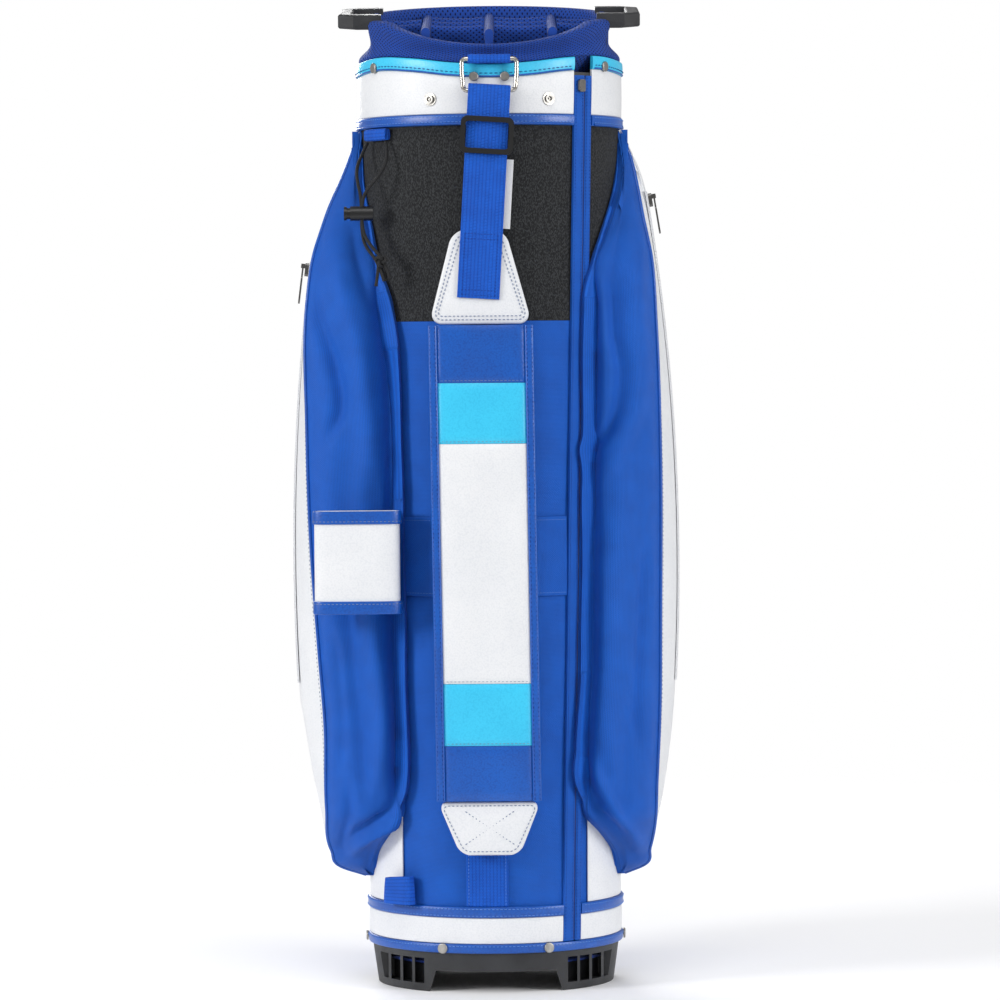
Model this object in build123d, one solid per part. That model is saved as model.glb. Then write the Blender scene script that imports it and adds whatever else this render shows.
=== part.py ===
"""Cart-style golf bag: an oval fabric tube on a moulded base, with a padded fourteen-way mouth,
two moulded top handles, a shoulder strap on a ring, an umbrella holder and zipped pockets.

Everything is modelled round the axis of the club tube, with the strap side towards -Y, and is moved
at the end so that the origin is the middle of the bag's footprint on the floor.
Millimetres, +Z up.
"""

import math
import os

from build123d import *

# ---------------------------------------------------------------- driving dimensions
# Club tube: an oval that widens a little from the base to the collar
tube_half_width_low = 111.5
tube_half_width_high = 116.0
tube_half_depth_low = 107.5
tube_half_depth_high = 112.0
fabric = 2.4  # wall of the tube
wrap = 1.1  # the cover sewn round the foot of the tube
wrap_high = 168.0
gap = 0.2  # between sewn or stacked pieces

# Heights
base_height = 36.0
base_floor = 24.0  # upper face of the moulded floor
base_rim_top = 62.0  # the rim that stands inside the fabric
colour_seam = 593.0  # black fabric above, blue below
collar_low = 764.0  # lower edge of the collar's blue trim
trim_height = 9.6
collar_wave_mid = 805.2  # lower edge of the cyan trim at the strap
cyan_height = 11.8
rim_height = 867.5  # plane of the mouth's padded rim over the tube's axis
rim_slope = 0.143  # the mouth rises away from the strap side
rim_dip = 16.0  # how far the rim dips at the strap
rim_dip_half_width = 95.0

# Mouth
cuff_inside = 16.0  # padding stands this far inside the tube's surface
cuff_outside = 1.0
frame_wall = 8.0  # moulded ring inside the collar
frame_top = 811.0
bar_width = 9.0
bar_height = 22.0
bar_below_rim = 5.0
wall_sheet = 1.6  # full-length divider sheets
column_half = 56.0  # middle columns of wells end here
row_pitch = 48.0
side_bar_offset = 25.0

# Moulded handles
handle_reach = 134.5
handle_bar = 13.0
handle_thick = 13.0
handle_half_length = 46.0
handle_middle = 865.0
handle_corner = 14.0
handle_round = 2.4
leg_width = 9.0
cuff_recess = 106.0  # the cuff is dented to here, for fingers

# Base
foot_half_width = 106.0
foot_half_depth = 102.0
arch_half_width_high = 53.0
arch_half_width_low = 59.0
arch_height = 19.4
slot_first = 67.8  # middle of the innermost slot between a foot's ribs
slot_pitch = 10.8
slot_count = 4
slot_width = 8.4
slot_depth = 9.0
slot_low = 7.0
slot_high = 30.0
slot_inner_y = 36.0  # the slots stop here, towards the bag's middle
floor_pad = 5.0
base_trim = 8.4
base_band_top = 67.6
rod_radius = 2.5
rod_angles = (22, -22, 75, -75, 140, -140)
rod_seat = 12.0

# Ring, tab and strap
ring_wire = 2.0
ring_plane = 121.5  # in front of the tube's axis
ring_top = 821.0
ring_bottom = 793.6
ring_half_high = 24.0
ring_half_low = 22.6
ring_corner = 3.6
webbing_width = 37.0
webbing = 1.6
ring_clearance = 0.5
loop_inner = 3.8
strap_lean = 3.5  # degrees
webbing_end = 611.5
slider_top = 770.4
slider_height = 32.5
slider_width = 46.6
slider_bar = 4.6
slider_travel = 60.0
pad_middle = -7.0
pad_width = 92.0
pad_thick = 15.0
pad_front = 132.0
patch_thick = 5.4
pad_low = 172.0
pad_high = 589.4
top_patch_high = 672.6
top_patch_half_low = 45.0
top_patch_half_high = 23.0
bottom_patch_low = 124.8
bottom_patch_half_low = 26.0
bottom_patch_half_high = 45.0
anchor_high = 145.0

# Waist band and umbrella holder
waist_low = 350.5
waist_high = 420.5
cuff_low = 336.5
cuff_high = 427.0
sleeve_width = 78.0
sleeve_depth = 30.0
sleeve_wall = 2.4
sleeve_middle = -119.0
sleeve_back = 91.4
binding_height = 11.5
binding = 1.3
loop_angle = -45.0
loop_width = 34.0
loop_depth = 14.0
loop_height = 24.0
loop_low = 78.0
loop_wall = 2.0

# Elastic cord
cord_diameter = 3.0
cord_tab_angle = -56.5
cord_tab_width = 34.0
cord_tab_thick = 6.6
cord_tab_low = 752.5
cord_tab_high = 763.5
lock_height = 688.3
lock_middle = -113.4  # the strands' way through the lock
lock_depth = -80.0
lock_length = 20.0
lock_radius = 6.4
lock_travel = 5.0
button_travel = 3.0
button_radius = 4.9
spring_start = 3.8  # from the strands to the spring
knot_radius = 6.2

# Zips
tape_width = 12.0
tape = 1.2
spine_zip_width = 15.0
spine_zip_high = 808.0
spine_zip_x_high = 81.0
spine_zip_low = 45.0
spine_zip_x_low = 66.0
spine_zip_thick = 3.4
slider_length = 12.0
slider_breadth = 9.0
slider_lift = 0.3
pull_length = 34.0
pull_width = 7.0
pull_thick = 1.4
pin_radius = 0.8
pin_height = 5.4

# Pockets
pocket_wall = 2.0
left_reach = 178.0  # the umbrella side is the fuller one
right_reach = 166.0
left_arc_radius = 2100.0
right_arc_radius = 2000.0
side_arc_middle = 380.0
left_arc_high = 645.0
right_arc_high = 705.0
side_arc_low = 250.0
side_top = 756.0
side_low = 104.5
left_seam = 81.0
right_seam = 87.0
side_front = 90.5  # the side pockets' padded front, towards the strap
side_back = 104.0
side_flat_front = -30.0
side_flat_back = 25.0
side_inner = 95.0
side_zip_y = -12.0
left_zip_high = 648.0
right_zip_high = 708.0
side_zip_low = 270.0
front_half_width = 91.0
ball_reach = 190.0
ball_low = 105.0
ball_high = 430.0
ball_zip = 385.0
ball_zip_half = 72.0
valuables_reach = 166.0
valuables_half_width = 78.0
valuables_low = 446.0
valuables_high = 735.0
valuables_zip = 690.0
valuables_zip_half = 56.0
corner = 30.0

# Rivets and snaps
rivet_radius = 4.6
rivet_head = 1.8
shank_radius = 1.6
shank_length = 5.0
snap_radius = 5.7
snap_height = 787.0
snap_angles = (26, -26, 154, -154)
collar_rivet_angles = (58.5, -58.5, 121.5, -121.5)
collar_rivet_height = 817.0
tab_rivet_x = 13.5
tab_rivet_height = 806.0
base_rivet_angles = (24, -24, 90, -90, 156, -156)

# ---------------------------------------------------------------- derived places
strap_reach = pad_front
slider_stack = 7.2  # a zip slider with its pull, above the tape
front_reach = ball_reach + gap + tape + slider_stack
axis_x = (left_reach - right_reach) / 2  # the tube's axis in the finished part
axis_y = (strap_reach - front_reach) / 2
span_low, span_high = base_height, collar_low


def half_width(z):
    """Half width of the tube's outer surface at a height."""
    share = (z - span_low) / (span_high - span_low)
    return tube_half_width_low + share * (tube_half_width_high - tube_half_width_low)


def half_depth(z):
    """Half depth of the tube's outer surface at a height."""
    share = (z - span_low) / (span_high - span_low)
    return tube_half_depth_low + share * (tube_half_depth_high - tube_half_depth_low)


def surface_y(x, z, offset=0.0):
    """Y of the tube's surface on the strap side, pushed out by an offset."""
    a, b = half_width(z) + offset, half_depth(z) + offset
    return -b * math.sqrt(max(0.0, 1 - (x / a) ** 2))


def core(z_low, z_high, offset=0.0):
    """The solid inside the tube's surface between two heights."""
    ends = [
        Pos(0, 0, z) * Ellipse(half_width(z) + offset, half_depth(z) + offset)
        for z in (z_low, z_high)
    ]
    return loft(ends, ruled=True)


def shell(z_low, z_high, inner, outer):
    """An oval ring that follows the tube, between two offsets from its surface."""
    return core(z_low, z_high, outer) - core(z_low, z_high, inner)


def on_tube(angle, z, offset=0.0):
    """A plane on the tube's surface: angle 0 is the strap side, and its Z points outwards."""
    a, b = half_width(z) + offset, half_depth(z) + offset
    turn = math.radians(angle)
    point = Vector(a * math.sin(turn), -b * math.cos(turn), z)
    normal = Vector(b * math.sin(turn), -a * math.cos(turn), 0).normalized()
    return Plane(origin=point, x_dir=Vector(-normal.Y, normal.X, 0), z_dir=normal)


def along_y(sketch_plane_face, reach=400.0):
    """A face drawn on the XZ plane, made a prism that crosses the whole bag."""
    return extrude(sketch_plane_face, amount=reach, both=True)


def group(solids):
    """Several loose pieces kept as one node."""
    return Compound([piece.solid() for piece in solids])


def box(x_low, x_high, y_low, y_high, z_low, z_high):
    """A box from its limits."""
    return Pos((x_low + x_high) / 2, (y_low + y_high) / 2, (z_low + z_high) / 2) * Box(
        x_high - x_low, y_high - y_low, z_high - z_low
    )


# ---------------------------------------------------------------- collar and its wavy trim
wave_points = ((0, 0), (35, 2.0), (68, 6.6), (97, 8.9), (125, 4.6), (150, 2.0))


def wave_band(z_low, z_high):
    """A prism between two copies of the collar's wavy line; a limit of None leaves it open."""
    mirrored = [(-x, z) for x, z in reversed(wave_points[1:])] + list(wave_points)
    x_end = wave_points[-1][0]
    low = [(x, (z_low or 0) + z) for x, z in mirrored] if z_low else None
    high = [(x, (z_high or 0) + z) for x, z in mirrored] if z_high else None
    far_low, far_high = collar_low - 100, rim_height + 100
    bottom = Spline(*low) if low else Line((-x_end, far_low), (x_end, far_low))
    top = Spline(*high) if high else Line((-x_end, far_high), (x_end, far_high))
    sides = [Line(bottom @ 0, top @ 0), Line(bottom @ 1, top @ 1)]
    return along_y(Plane.XZ * make_face([bottom, top, *sides]))


def zip_prism(grow=0.0):
    """The slanted strip that the long zip covers, as a prism in front of the tube."""
    half = spine_zip_width / 2 + grow
    low, high = spine_zip_low - grow, spine_zip_high + grow
    outline = Polyline(
        (spine_zip_x_low - half, low),
        (spine_zip_x_low + half, low),
        (spine_zip_x_high + half, high),
        (spine_zip_x_high - half, high),
        close=True,
    )
    return extrude(Plane.XZ * make_face(outline), amount=200)


def collar_pieces():
    """The collar: white band, cyan trim above it, blue trim below it."""
    strip = zip_prism(gap)
    upper = collar_low + trim_height
    ring = shell(upper + gap, rim_height, gap, 2.0)
    band = ring & wave_band(None, collar_wave_mid)
    trim_top = collar_wave_mid + cyan_height
    cyan = shell(upper, rim_height, gap, 3.2) & wave_band(collar_wave_mid + gap, trim_top)
    blue = shell(collar_low, upper, gap, 3.5)
    return band - strip, cyan - strip, blue - strip


def base_bands():
    """White band round the foot of the tube with a blue trim above and below."""
    strip = zip_prism(gap)
    low_top = base_height + base_trim
    white = shell(low_top + gap, base_band_top - gap, gap, 2.0)
    upper = shell(base_band_top, base_band_top + trim_height, gap, 3.5)
    lower = shell(base_height, low_top, gap, 3.5)
    return white - strip, upper - strip, lower


# ---------------------------------------------------------------- tube, base and stays
def rod(angle):
    """One stay, leaning with the taper, from its seat in the base to its seat in the top frame."""
    inset = -(fabric + gap + rod_radius + 0.3)
    low = on_tube(angle, base_rim_top - rod_seat, inset).origin
    high = on_tube(angle, collar_low + rod_seat * 2, inset).origin
    return extrude(Plane(origin=low, z_dir=high - low) * Circle(rod_radius), amount=(high - low).length)


def base_cup():
    """Moulded base: two ribbed feet, a floor and a rim that stands inside the fabric."""
    foot = loft(
        [
            Ellipse(foot_half_width, foot_half_depth),
            Pos(0, 0, base_height - gap)
            * Ellipse(half_width(base_height) - 0.5, half_depth(base_height) - 0.5),
        ],
        ruled=True,
    )
    arch = Polyline(
        (-arch_half_width_low, -1),
        (arch_half_width_low, -1),
        (arch_half_width_high, arch_height),
        (-arch_half_width_high, arch_height),
        close=True,
    )
    foot -= along_y(Plane.XZ * make_face(arch))
    inside = core(0, base_height, -(slot_depth + 4))
    for n in range(slot_count):
        x = slot_first + n * slot_pitch
        for middle in (-x, x):
            low, high = middle - slot_width / 2, middle + slot_width / 2
            for y_low, y_high in ((-200, -slot_inner_y), (slot_inner_y, 200)):
                foot -= box(low, high, y_low, y_high, slot_low, slot_high) - inside
    wall = fabric + gap
    rim = core(base_height - gap - 1, base_rim_top, -wall)
    hollow = core(base_floor, base_rim_top + 1, -(wall + 5.6))
    return foot + rim - hollow


def top_frame():
    """Moulded ring inside the collar, which carries the handles and holds the stays' upper ends."""
    return shell(collar_low + trim_height + 3, frame_top, -frame_wall, -gap)


def lower_wrap():
    """White cover round the foot of the tube, open at the strap side, with sloping ends."""
    ring = shell(base_band_top + trim_height + gap, wrap_high, gap, gap + wrap)
    cut = Polyline((-left_seam, 60), (left_seam, 60), (left_seam, 167), (-left_seam, 160), close=True)
    ring -= extrude(Plane.XZ * make_face(cut), amount=200)
    slope = Polyline(
        (-81, 160), (-103, 131), (-125, 108), (-125, 200), (125, 200), (125, 108), (103, 136), (81, 167),
        close=True
    )
    return ring - extrude(Plane.XZ * make_face(slope), amount=200) - zip_prism(gap)


# ---------------------------------------------------------------- mouth
def below_rim(drop=0.0):
    """Everything under the sloping plane of the rim, lowered by a drop."""
    tilt = math.degrees(math.atan(rim_slope))
    slab = Pos(0, 0, -400) * Box(800, 800, 800)
    return Pos(0, 0, rim_height - drop) * Rot(X=tilt) * slab


def root_x(y):
    """X of the tube's inside face at some Y, level with the top frame."""
    a, b = half_width(frame_top) - fabric, half_depth(frame_top) - fabric
    return a * math.sqrt(1 - (y / b) ** 2)


def handle(side, grow=0.0):
    """One moulded handle: a flat bar on two legs that stand in the cuff. Grown, it is the room it needs."""
    tilt = math.degrees(math.atan(rim_slope))
    leg_y = handle_half_length - handle_bar / 2
    leg_x = root_x(leg_y + leg_width / 2) - leg_width / 2
    start, reach = leg_x - 4, handle_reach + grow
    loop = Pos((reach + start) / 2, 0) * Rectangle(reach - start, 2 * (handle_half_length + grow))
    loop = chamfer(loop.vertices().group_by(Axis.X)[-1], handle_corner)
    window = handle_reach - handle_bar - grow
    inside = Pos((window + start - 2) / 2, 0) * Rectangle(
        window - start + 2, 2 * (handle_half_length - handle_bar - grow)
    )
    bar = extrude(loop - inside, amount=handle_thick / 2 + grow, both=True)
    if not grow:
        faces = bar.faces().sort_by(Axis.Z)
        outline = faces[0].outer_wire().edges() + faces[-1].outer_wire().edges()
        bar = fillet([e for e in outline if e.center().X > leg_x + leg_width], handle_round)
    bar = Pos(0, 0, handle_middle) * Rot(X=tilt) * bar
    half = leg_width / 2 + grow
    for y in (-leg_y, leg_y):
        leg_top = handle_middle + y * rim_slope
        bar += box(leg_x - half, leg_x + half, y - half, y + half, frame_top + gap - grow, leg_top)
    return bar if side > 0 else mirror(bar, about=Plane.YZ)


def top_cuff():
    """Padded rim of the mouth, from the cyan trim up, with room for the handles."""
    low = collar_wave_mid + cyan_height + gap
    ring = shell(frame_top + gap, rim_height + 40, -cuff_inside, cuff_outside)
    ring = (ring & below_rim()) & wave_band(low, None)
    radius = (rim_dip_half_width**2 + rim_dip**2) / (2 * rim_dip)
    dip = Pos(0, 0, rim_height - rim_dip + radius) * Rot(X=90) * Cylinder(radius, 400)
    dip = Pos(0, 0, -rim_slope * half_depth(rim_height)) * dip
    ring -= dip & box(-400, 400, -400, -30, 0, 2000)
    for side in (1, -1):
        half = handle_half_length - handle_bar - 1
        low_z = handle_middle - 30
        ring -= box(
            min(side * cuff_recess, side * 150), max(side * cuff_recess, side * 150), -half, half, low_z,
            low_z + 100
        )
        ring -= handle(side, gap)
    return ring.solids().sort_by(SortBy.VOLUME)[-1]


def divider_lines():
    """Each divider as (x_low, x_high, y_low, y_high) limits of its middle line, on the oval inside the cuff."""
    a = half_width(frame_top) - cuff_inside - gap
    b = half_depth(frame_top) - cuff_inside - gap

    def y_at(x):
        return b * math.sqrt(1 - (x / a) ** 2)

    def x_at(y):
        return a * math.sqrt(1 - (y / b) ** 2)

    lines = [
        (
            "y", x, -y_at(abs(x) + bar_width / 2), y_at(abs(x) + bar_width / 2)
        ) for x in (-column_half, 0, column_half)
    ]
    butt = bar_width / 2 + gap
    for y in (-row_pitch, 0, row_pitch):
        lines += [("x", y, -column_half + butt, -butt), ("x", y, butt, column_half - butt)]
    for y in (-side_bar_offset, side_bar_offset):
        far = x_at(abs(y) + bar_width / 2)
        lines += [("x", y, -far, -column_half - butt), ("x", y, column_half + butt, far)]
    return lines


def line_box(line, width, z_low, z_high):
    """A wall of some width along one divider line."""
    kind, place, low, high = line
    if kind == "y":
        return box(place - width / 2, place + width / 2, low, high, z_low, z_high)
    return box(low, high, place - width / 2, place + width / 2, z_low, z_high)


def divider_bars():
    """Padded bars of the fourteen-way mouth, one solid for each bar."""
    top, bottom = below_rim(bar_below_rim), below_rim(bar_below_rim + bar_height)
    bars = [(line_box(n, bar_width, 700, 1000) & top) - bottom for n in divider_lines()]
    return group(bars)


def divider_sheets():
    """Full-length dividers under the bars, one solid for each sheet."""
    low = base_floor + floor_pad + 2 * gap
    under = below_rim(bar_below_rim + bar_height + gap)
    a = half_width(base_height) - fabric - frame_wall
    b = half_depth(base_height) - fabric - frame_wall
    inside = extrude(Pos(0, 0, low) * Ellipse(a, b), amount=1000)
    sheets = [line_box(n, wall_sheet, low, 1000) & under & inside for n in divider_lines()]
    return group(sheets)


# ---------------------------------------------------------------- rivets and snaps
def rivet(plane, radius=rivet_radius):
    """A domed head on a shank, standing on a plane."""
    head = Cylinder(radius, rivet_head, align=(Align.CENTER, Align.CENTER, Align.MIN))
    head = fillet(head.edges().filter_by(GeomType.CIRCLE).group_by(Axis.Z)[-1], rivet_head * 0.6)
    shank = Pos(0, 0, -shank_length) * Cylinder(
        shank_radius, shank_length + 0.5, align=(Align.CENTER, Align.CENTER, Align.MIN)
    )
    return plane * (head + shank)


def snap(plane):
    """A ring snap: a flange with a raised collar round a small post."""
    align = (Align.CENTER, Align.CENTER, Align.MIN)
    flange = Cylinder(snap_radius, 1.0, align=align)
    ring = Cylinder(
        snap_radius * 0.62, 2.6, align=align
    ) - Pos(0, 0, 1) * Cylinder(snap_radius * 0.36, 3, align=align)
    post = Cylinder(snap_radius * 0.16, 2.2, align=align)
    shank = Pos(0, 0, -shank_length) * Cylinder(shank_radius, shank_length + 0.5, align=align)
    return plane * (flange + ring + post + shank)


collar_rivet_planes = [on_tube(n, collar_rivet_height, 3.2 + 0.1) for n in collar_rivet_angles]
snap_planes = [on_tube(n, snap_height, 2.0 + 0.1) for n in snap_angles]
base_rivet_planes = [on_tube(n, base_height + base_trim / 2, 3.5 + 0.1) for n in base_rivet_angles]
tab_rivet_planes = [
    Plane(
        origin=(x, surface_y(0, tab_rivet_height, 3.2 + 0.1), tab_rivet_height), x_dir=(1, 0, 0),
        z_dir=(0, -1, 0)
    )
    for x in (-tab_rivet_x, tab_rivet_x)
]


def shank_holes(planes):
    """Holes that take the shanks of the rivets or snaps on some planes."""
    hole = Pos(0, 0, -shank_length - gap) * Cylinder(
        shank_radius + 0.1, shank_length + 8, align=(Align.CENTER, Align.CENTER, Align.MIN)
    )
    return [plane * hole for plane in planes]


# ---------------------------------------------------------------- ring, tab and strap
def d_ring():
    """Closed wire ring: a straight top bar, shoulders, and a narrower lower bar."""
    middle = (ring_top + ring_bottom) / 2 + 1.5
    points = [
        (-ring_half_low, ring_bottom), (ring_half_low, ring_bottom), (ring_half_high, middle),
        (ring_half_high, ring_top), (-ring_half_high, ring_top), (-ring_half_high, middle)
    ]
    path = Plane.XZ.offset(ring_plane) * FilletPolyline(*points, radius=ring_corner, close=True)
    start = path @ 0
    section = Plane(origin=start, z_dir=path % 0) * Circle(ring_wire)
    return sweep(section, path=path)


def ring_tab():
    """Webbing folded round the ring's top bar, its tails running back into the collar's seam."""
    inner, outer = ring_wire + ring_clearance, ring_wire + ring_clearance + webbing
    plane = Plane.YZ.offset(-webbing_width / 2)
    tube = Pos(-ring_plane, ring_top) * Circle(outer) - Pos(-ring_plane, ring_top) * Circle(inner)
    back = surface_y(0, ring_top, cuff_outside + gap)
    tail = Pos((back - ring_plane) / 2, ring_top) * Rectangle(ring_plane + back, 2 * webbing)
    tail -= Pos(-ring_plane, ring_top) * Circle(inner)
    return extrude(plane * (tube + tail), amount=webbing_width)


def in_strap(shape):
    """Places a piece drawn upright at the ring's lower bar, leaning as the strap does."""
    pivot = Pos(0, 0, ring_bottom)
    return pivot * Rot(Y=strap_lean) * pivot.inverse() * shape


front_layer = ring_plane + loop_inner + webbing  # the webbing's outer face, from the axis


def strap_webbing():
    """Outer webbing: round the ring's lower bar and down to its sewn end on the pad's patch."""
    plane = Plane.YZ.offset(-webbing_width / 2)
    middle = Pos(-ring_plane, ring_bottom)
    loop = middle * Circle(loop_inner + webbing) - middle * Circle(loop_inner)
    length = ring_bottom - webbing_end
    front = Pos(-front_layer + webbing / 2, ring_bottom - length / 2) * Rectangle(webbing, length)
    return in_strap(extrude(plane * (loop + front), amount=webbing_width))


def strap_return():
    """The webbing's inner layer, from the ring back down to the slide buckle."""
    y = -ring_plane + loop_inner
    low = slider_top - slider_height - slider_travel
    return in_strap(
        box(
            -webbing_width / 2, webbing_width / 2, y, y + webbing, low,
            ring_bottom - loop_inner - webbing - gap
        )
    )


def strap_slider():
    """Slide buckle: two bars before the webbing, one behind it, and two cheeks."""
    z_high, z_low = slider_top, slider_top - slider_height
    middle = (z_high + z_low) / 2
    face = front_layer + gap
    half = slider_width / 2
    opening = webbing_width / 2 + 0.6
    outline = RectangleRounded(slider_width, slider_height, 6)
    window = RectangleRounded(2 * opening, slider_height - 2 * slider_bar, 3)
    front = extrude(Plane.XZ.offset(face) * Pos(0, middle) * (outline - window), amount=4.2)
    depth = face + 4.2
    cheek_back = -ring_plane - 0.4
    body = front
    for side in (-1, 1):
        body += box(
            min(side * opening, side * half), max(side * opening, side * half), -depth + 2, cheek_back,
            middle - 6, middle + 6
        )
    body += box(-half, half, -front_layer + webbing + gap, cheek_back, middle - 2.6, middle + 2.6)
    return in_strap(body)


def slider_wrap():
    """Sewn end of the webbing's inner layer, folded behind the buckle's middle bar."""
    middle = slider_top - slider_height / 2
    y = -ring_plane - 0.4 + gap
    return in_strap(
        box(-webbing_width / 2, webbing_width / 2, y, y + 2 * webbing, middle - 5, middle + 3.6)
    )


def strap_backing():
    """White facing that shows beside the webbing, between the buckle and the pad."""
    shift = 6.0
    y = -ring_plane + loop_inner + webbing + gap
    low = top_patch_high - 4
    return in_strap(
        box(
            -webbing_width / 2 + shift, webbing_width / 2 + shift, y, y + webbing, low + 5,
            slider_top - slider_height - 3
        )
    )


def flat_piece(points, radius, y_front, thick):
    """A plate with rounded corners, drawn in X and Z, with its face at y_front before the axis."""
    face = make_face(Polyline(*points, close=True))
    face = fillet(face.vertices(), radius)
    return extrude(Plane.XZ.offset(y_front - thick) * face, amount=thick)


def strap_pad():
    """Padded shoulder strap between its two end patches."""
    body = box(
        pad_middle - pad_width / 2, pad_middle + pad_width / 2, -pad_front, -pad_front + pad_thick,
        pad_low + gap, pad_high
    )
    return fillet(body.edges().filter_by(Axis.Z), 6)


def strap_top_patch():
    """White patch that joins the webbing to the pad."""
    low, high = pad_high + gap, top_patch_high
    points = [
        (pad_middle - top_patch_half_low, low), (pad_middle + top_patch_half_low, low),
        (pad_middle + top_patch_half_high, high), (pad_middle - top_patch_half_high, high)
    ]
    return flat_piece(points, 12, front_layer - webbing - gap, patch_thick)


def strap_bottom_patch():
    """White patch at the pad's lower end."""
    low, high = bottom_patch_low, pad_low
    points = [
        (pad_middle - bottom_patch_half_low, low), (pad_middle + bottom_patch_half_low, low),
        (pad_middle + bottom_patch_half_high, high), (pad_middle - bottom_patch_half_high, high)
    ]
    return flat_piece(points, 9, front_layer, 9)


def tube_patch(points, thick, start=gap):
    """A flat outline in X and Z laid on the strap side of the tube."""
    low, high = min(z for _, z in points) - 1, max(z for _, z in points) + 1
    prism = extrude(Plane.XZ * make_face(Polyline(*points, close=True)), amount=200)
    return shell(low, high, start, start + thick) & prism


def strap_anchor():
    """Webbing sewn flat to the tube, which holds the pad's lower end."""
    low, high = base_band_top + trim_height + gap, anchor_high
    left, right = pad_middle - webbing_width / 2, pad_middle + webbing_width / 2
    return tube_patch([(left, low), (right, low), (right, high), (left, high)], webbing)


def waist_band():
    """Fabric band sewn across the tube behind the pad, which carries the umbrella sleeve."""
    right = spine_zip_x_low - spine_zip_width / 2 + 4
    return tube_patch(
        [
            (-left_seam + 1, waist_low), (right, waist_low), (right, waist_high),
            (-left_seam + 1, waist_high)
        ],
        1.2
    )


# ---------------------------------------------------------------- umbrella holder
def sleeve_outline(width, depth, grow=0.0):
    """Rounded rectangle of the umbrella sleeve's plan, seen from above."""
    y = -(sleeve_back + sleeve_depth / 2)
    return Pos(sleeve_middle, y) * RectangleRounded(
        width + 2 * grow, depth + 2 * grow, min(width, depth) / 2.6 + grow
    )


def umbrella_sleeve():
    """White sleeve that the folded umbrella passes through."""
    wall = 2 * (sleeve_wall + binding)
    outer = sleeve_outline(sleeve_width - 2 * binding, sleeve_depth - 2 * binding)
    inner = sleeve_outline(sleeve_width - wall, sleeve_depth - wall)
    return extrude(Pos(0, 0, cuff_low) * (outer - inner), amount=cuff_high - cuff_low)


def sleeve_bindings():
    """Blue bindings on the sleeve's two edges."""
    wall = 2 * binding
    inner = sleeve_outline(sleeve_width - wall, sleeve_depth - wall, 0.1)
    ring = extrude(sleeve_outline(sleeve_width, sleeve_depth) - inner, amount=binding_height)
    return group([Pos(0, 0, z) * ring for z in (cuff_low, cuff_high - binding_height)])


def umbrella_loop():
    """Webbing loop by the base that takes the umbrella's tip."""
    outer = RectangleRounded(loop_width, loop_depth, loop_depth / 2 - 1)
    inner = RectangleRounded(
        loop_width - 2 * loop_wall, loop_depth - 2 * loop_wall, loop_depth / 2 - 1 - loop_wall
    )
    ring = Rot(X=-90) * extrude(outer - inner, amount=loop_height)
    seat = on_tube(loop_angle, loop_low, wrap + 2 * gap + loop_depth / 2)
    upright = Plane(origin=seat.origin, x_dir=seat.x_dir, z_dir=seat.z_dir)
    return upright * ring


def cord_tab():
    """Webbing tab sewn in under the collar's trim, which the elastic cord's two strands hang from."""
    middle = (cord_tab_low + cord_tab_high) / 2
    seat = on_tube(cord_tab_angle, middle, 2 * gap + cord_tab_thick / 2)
    body = Box(cord_tab_width, cord_tab_high - cord_tab_low, cord_tab_thick)
    body = fillet(body.edges().filter_by(Axis.X), 2.6)
    return seat * body


cord_route_left = (
    (-108.6, -51.5, 751.7),
    (-113.0, -55.0, 742.0),
    (-118.3, -62.5, 729.0),
    (-117.2, -71.5, 716.0),
    (-113.6, -78.3, 702.5),
    (-113.6, -78.3, 672.5),
    (-110.5, -86.5, 659.0),
    (-98.5, -97.3, 645.0),
    (-93.8, -98.6, 628.5),
)
cord_route_right = (
    (-91.9, -75.4, 751.7),
    (-89.5, -82.5, 739.0),
    (-94.5, -87.5, 725.0),
    (-104.5, -87.2, 713.5),
    (-113.2, -81.7, 702.0),
    (-113.2, -81.7, 673.0),
    (-106.0, -89.0, 660.0),
    (-93.8, -98.4, 647.0),
    (-88.5, -98.6, 631.0),
)


def cord_tube(route, radius):
    """Round tube along straight runs joined by the largest tangent arcs that fit."""
    points = [Vector(*p) for p in route]
    radii = []
    for a, b, c in zip(points, points[1:], points[2:]):
        turn = math.radians((b - a).get_angle(c - b))
        shorter = min((b - a).length, (c - b).length)
        radii.append(0.45 * shorter / math.tan(turn / 2))
    path = FilletPolyline(*points, radius=radii)
    section = Plane(origin=path @ 0, z_dir=path % 0) * Circle(radius)
    return sweep(section, path=path), path, radii


def cord_strand(route):
    """One strand of the cord, with its length and bends printed."""
    strand, path, radii = cord_tube(route, cord_diameter / 2)
    share = strand.volume / (math.pi * cord_diameter**2 / 4 * path.length)
    print(f"cord strand {path.length:.1f} mm, volume ratio {share:.3f}, bends {[round(r, 1) for r in radii]}")
    return strand


def umbrella_cord():
    """The elastic cord's two strands, from the tab through the lock to the knot."""
    return [cord_strand(cord_route_left), cord_strand(cord_route_right)]


def lock_piece(start, end, radius):
    """A cylinder along the cord lock's axis, between two distances from the strands."""
    middle = Pos(lock_middle + (start + end) / 2, lock_depth, lock_height)
    return middle * Rot(Y=90) * Cylinder(radius, end - start)


def lock_way(left):
    """The upright way that the strands take, lengthened on the button's side."""
    half = cord_diameter / 2 + 0.4
    depth = 2 * cord_diameter + 1.0
    return Pos(lock_middle - left / 2, lock_depth, lock_height) * Box(2 * half + left, depth, 40)


def lock_barrel():
    """Barrel of the cord lock: a round shell, closed at one end, with the cord's way through it."""
    shell_end = lock_length / 2
    bore = lock_piece(-shell_end - 1, shell_end - 1.6, button_radius + 0.15)
    return lock_piece(-shell_end, shell_end, lock_radius) - bore - lock_way(0)


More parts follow.
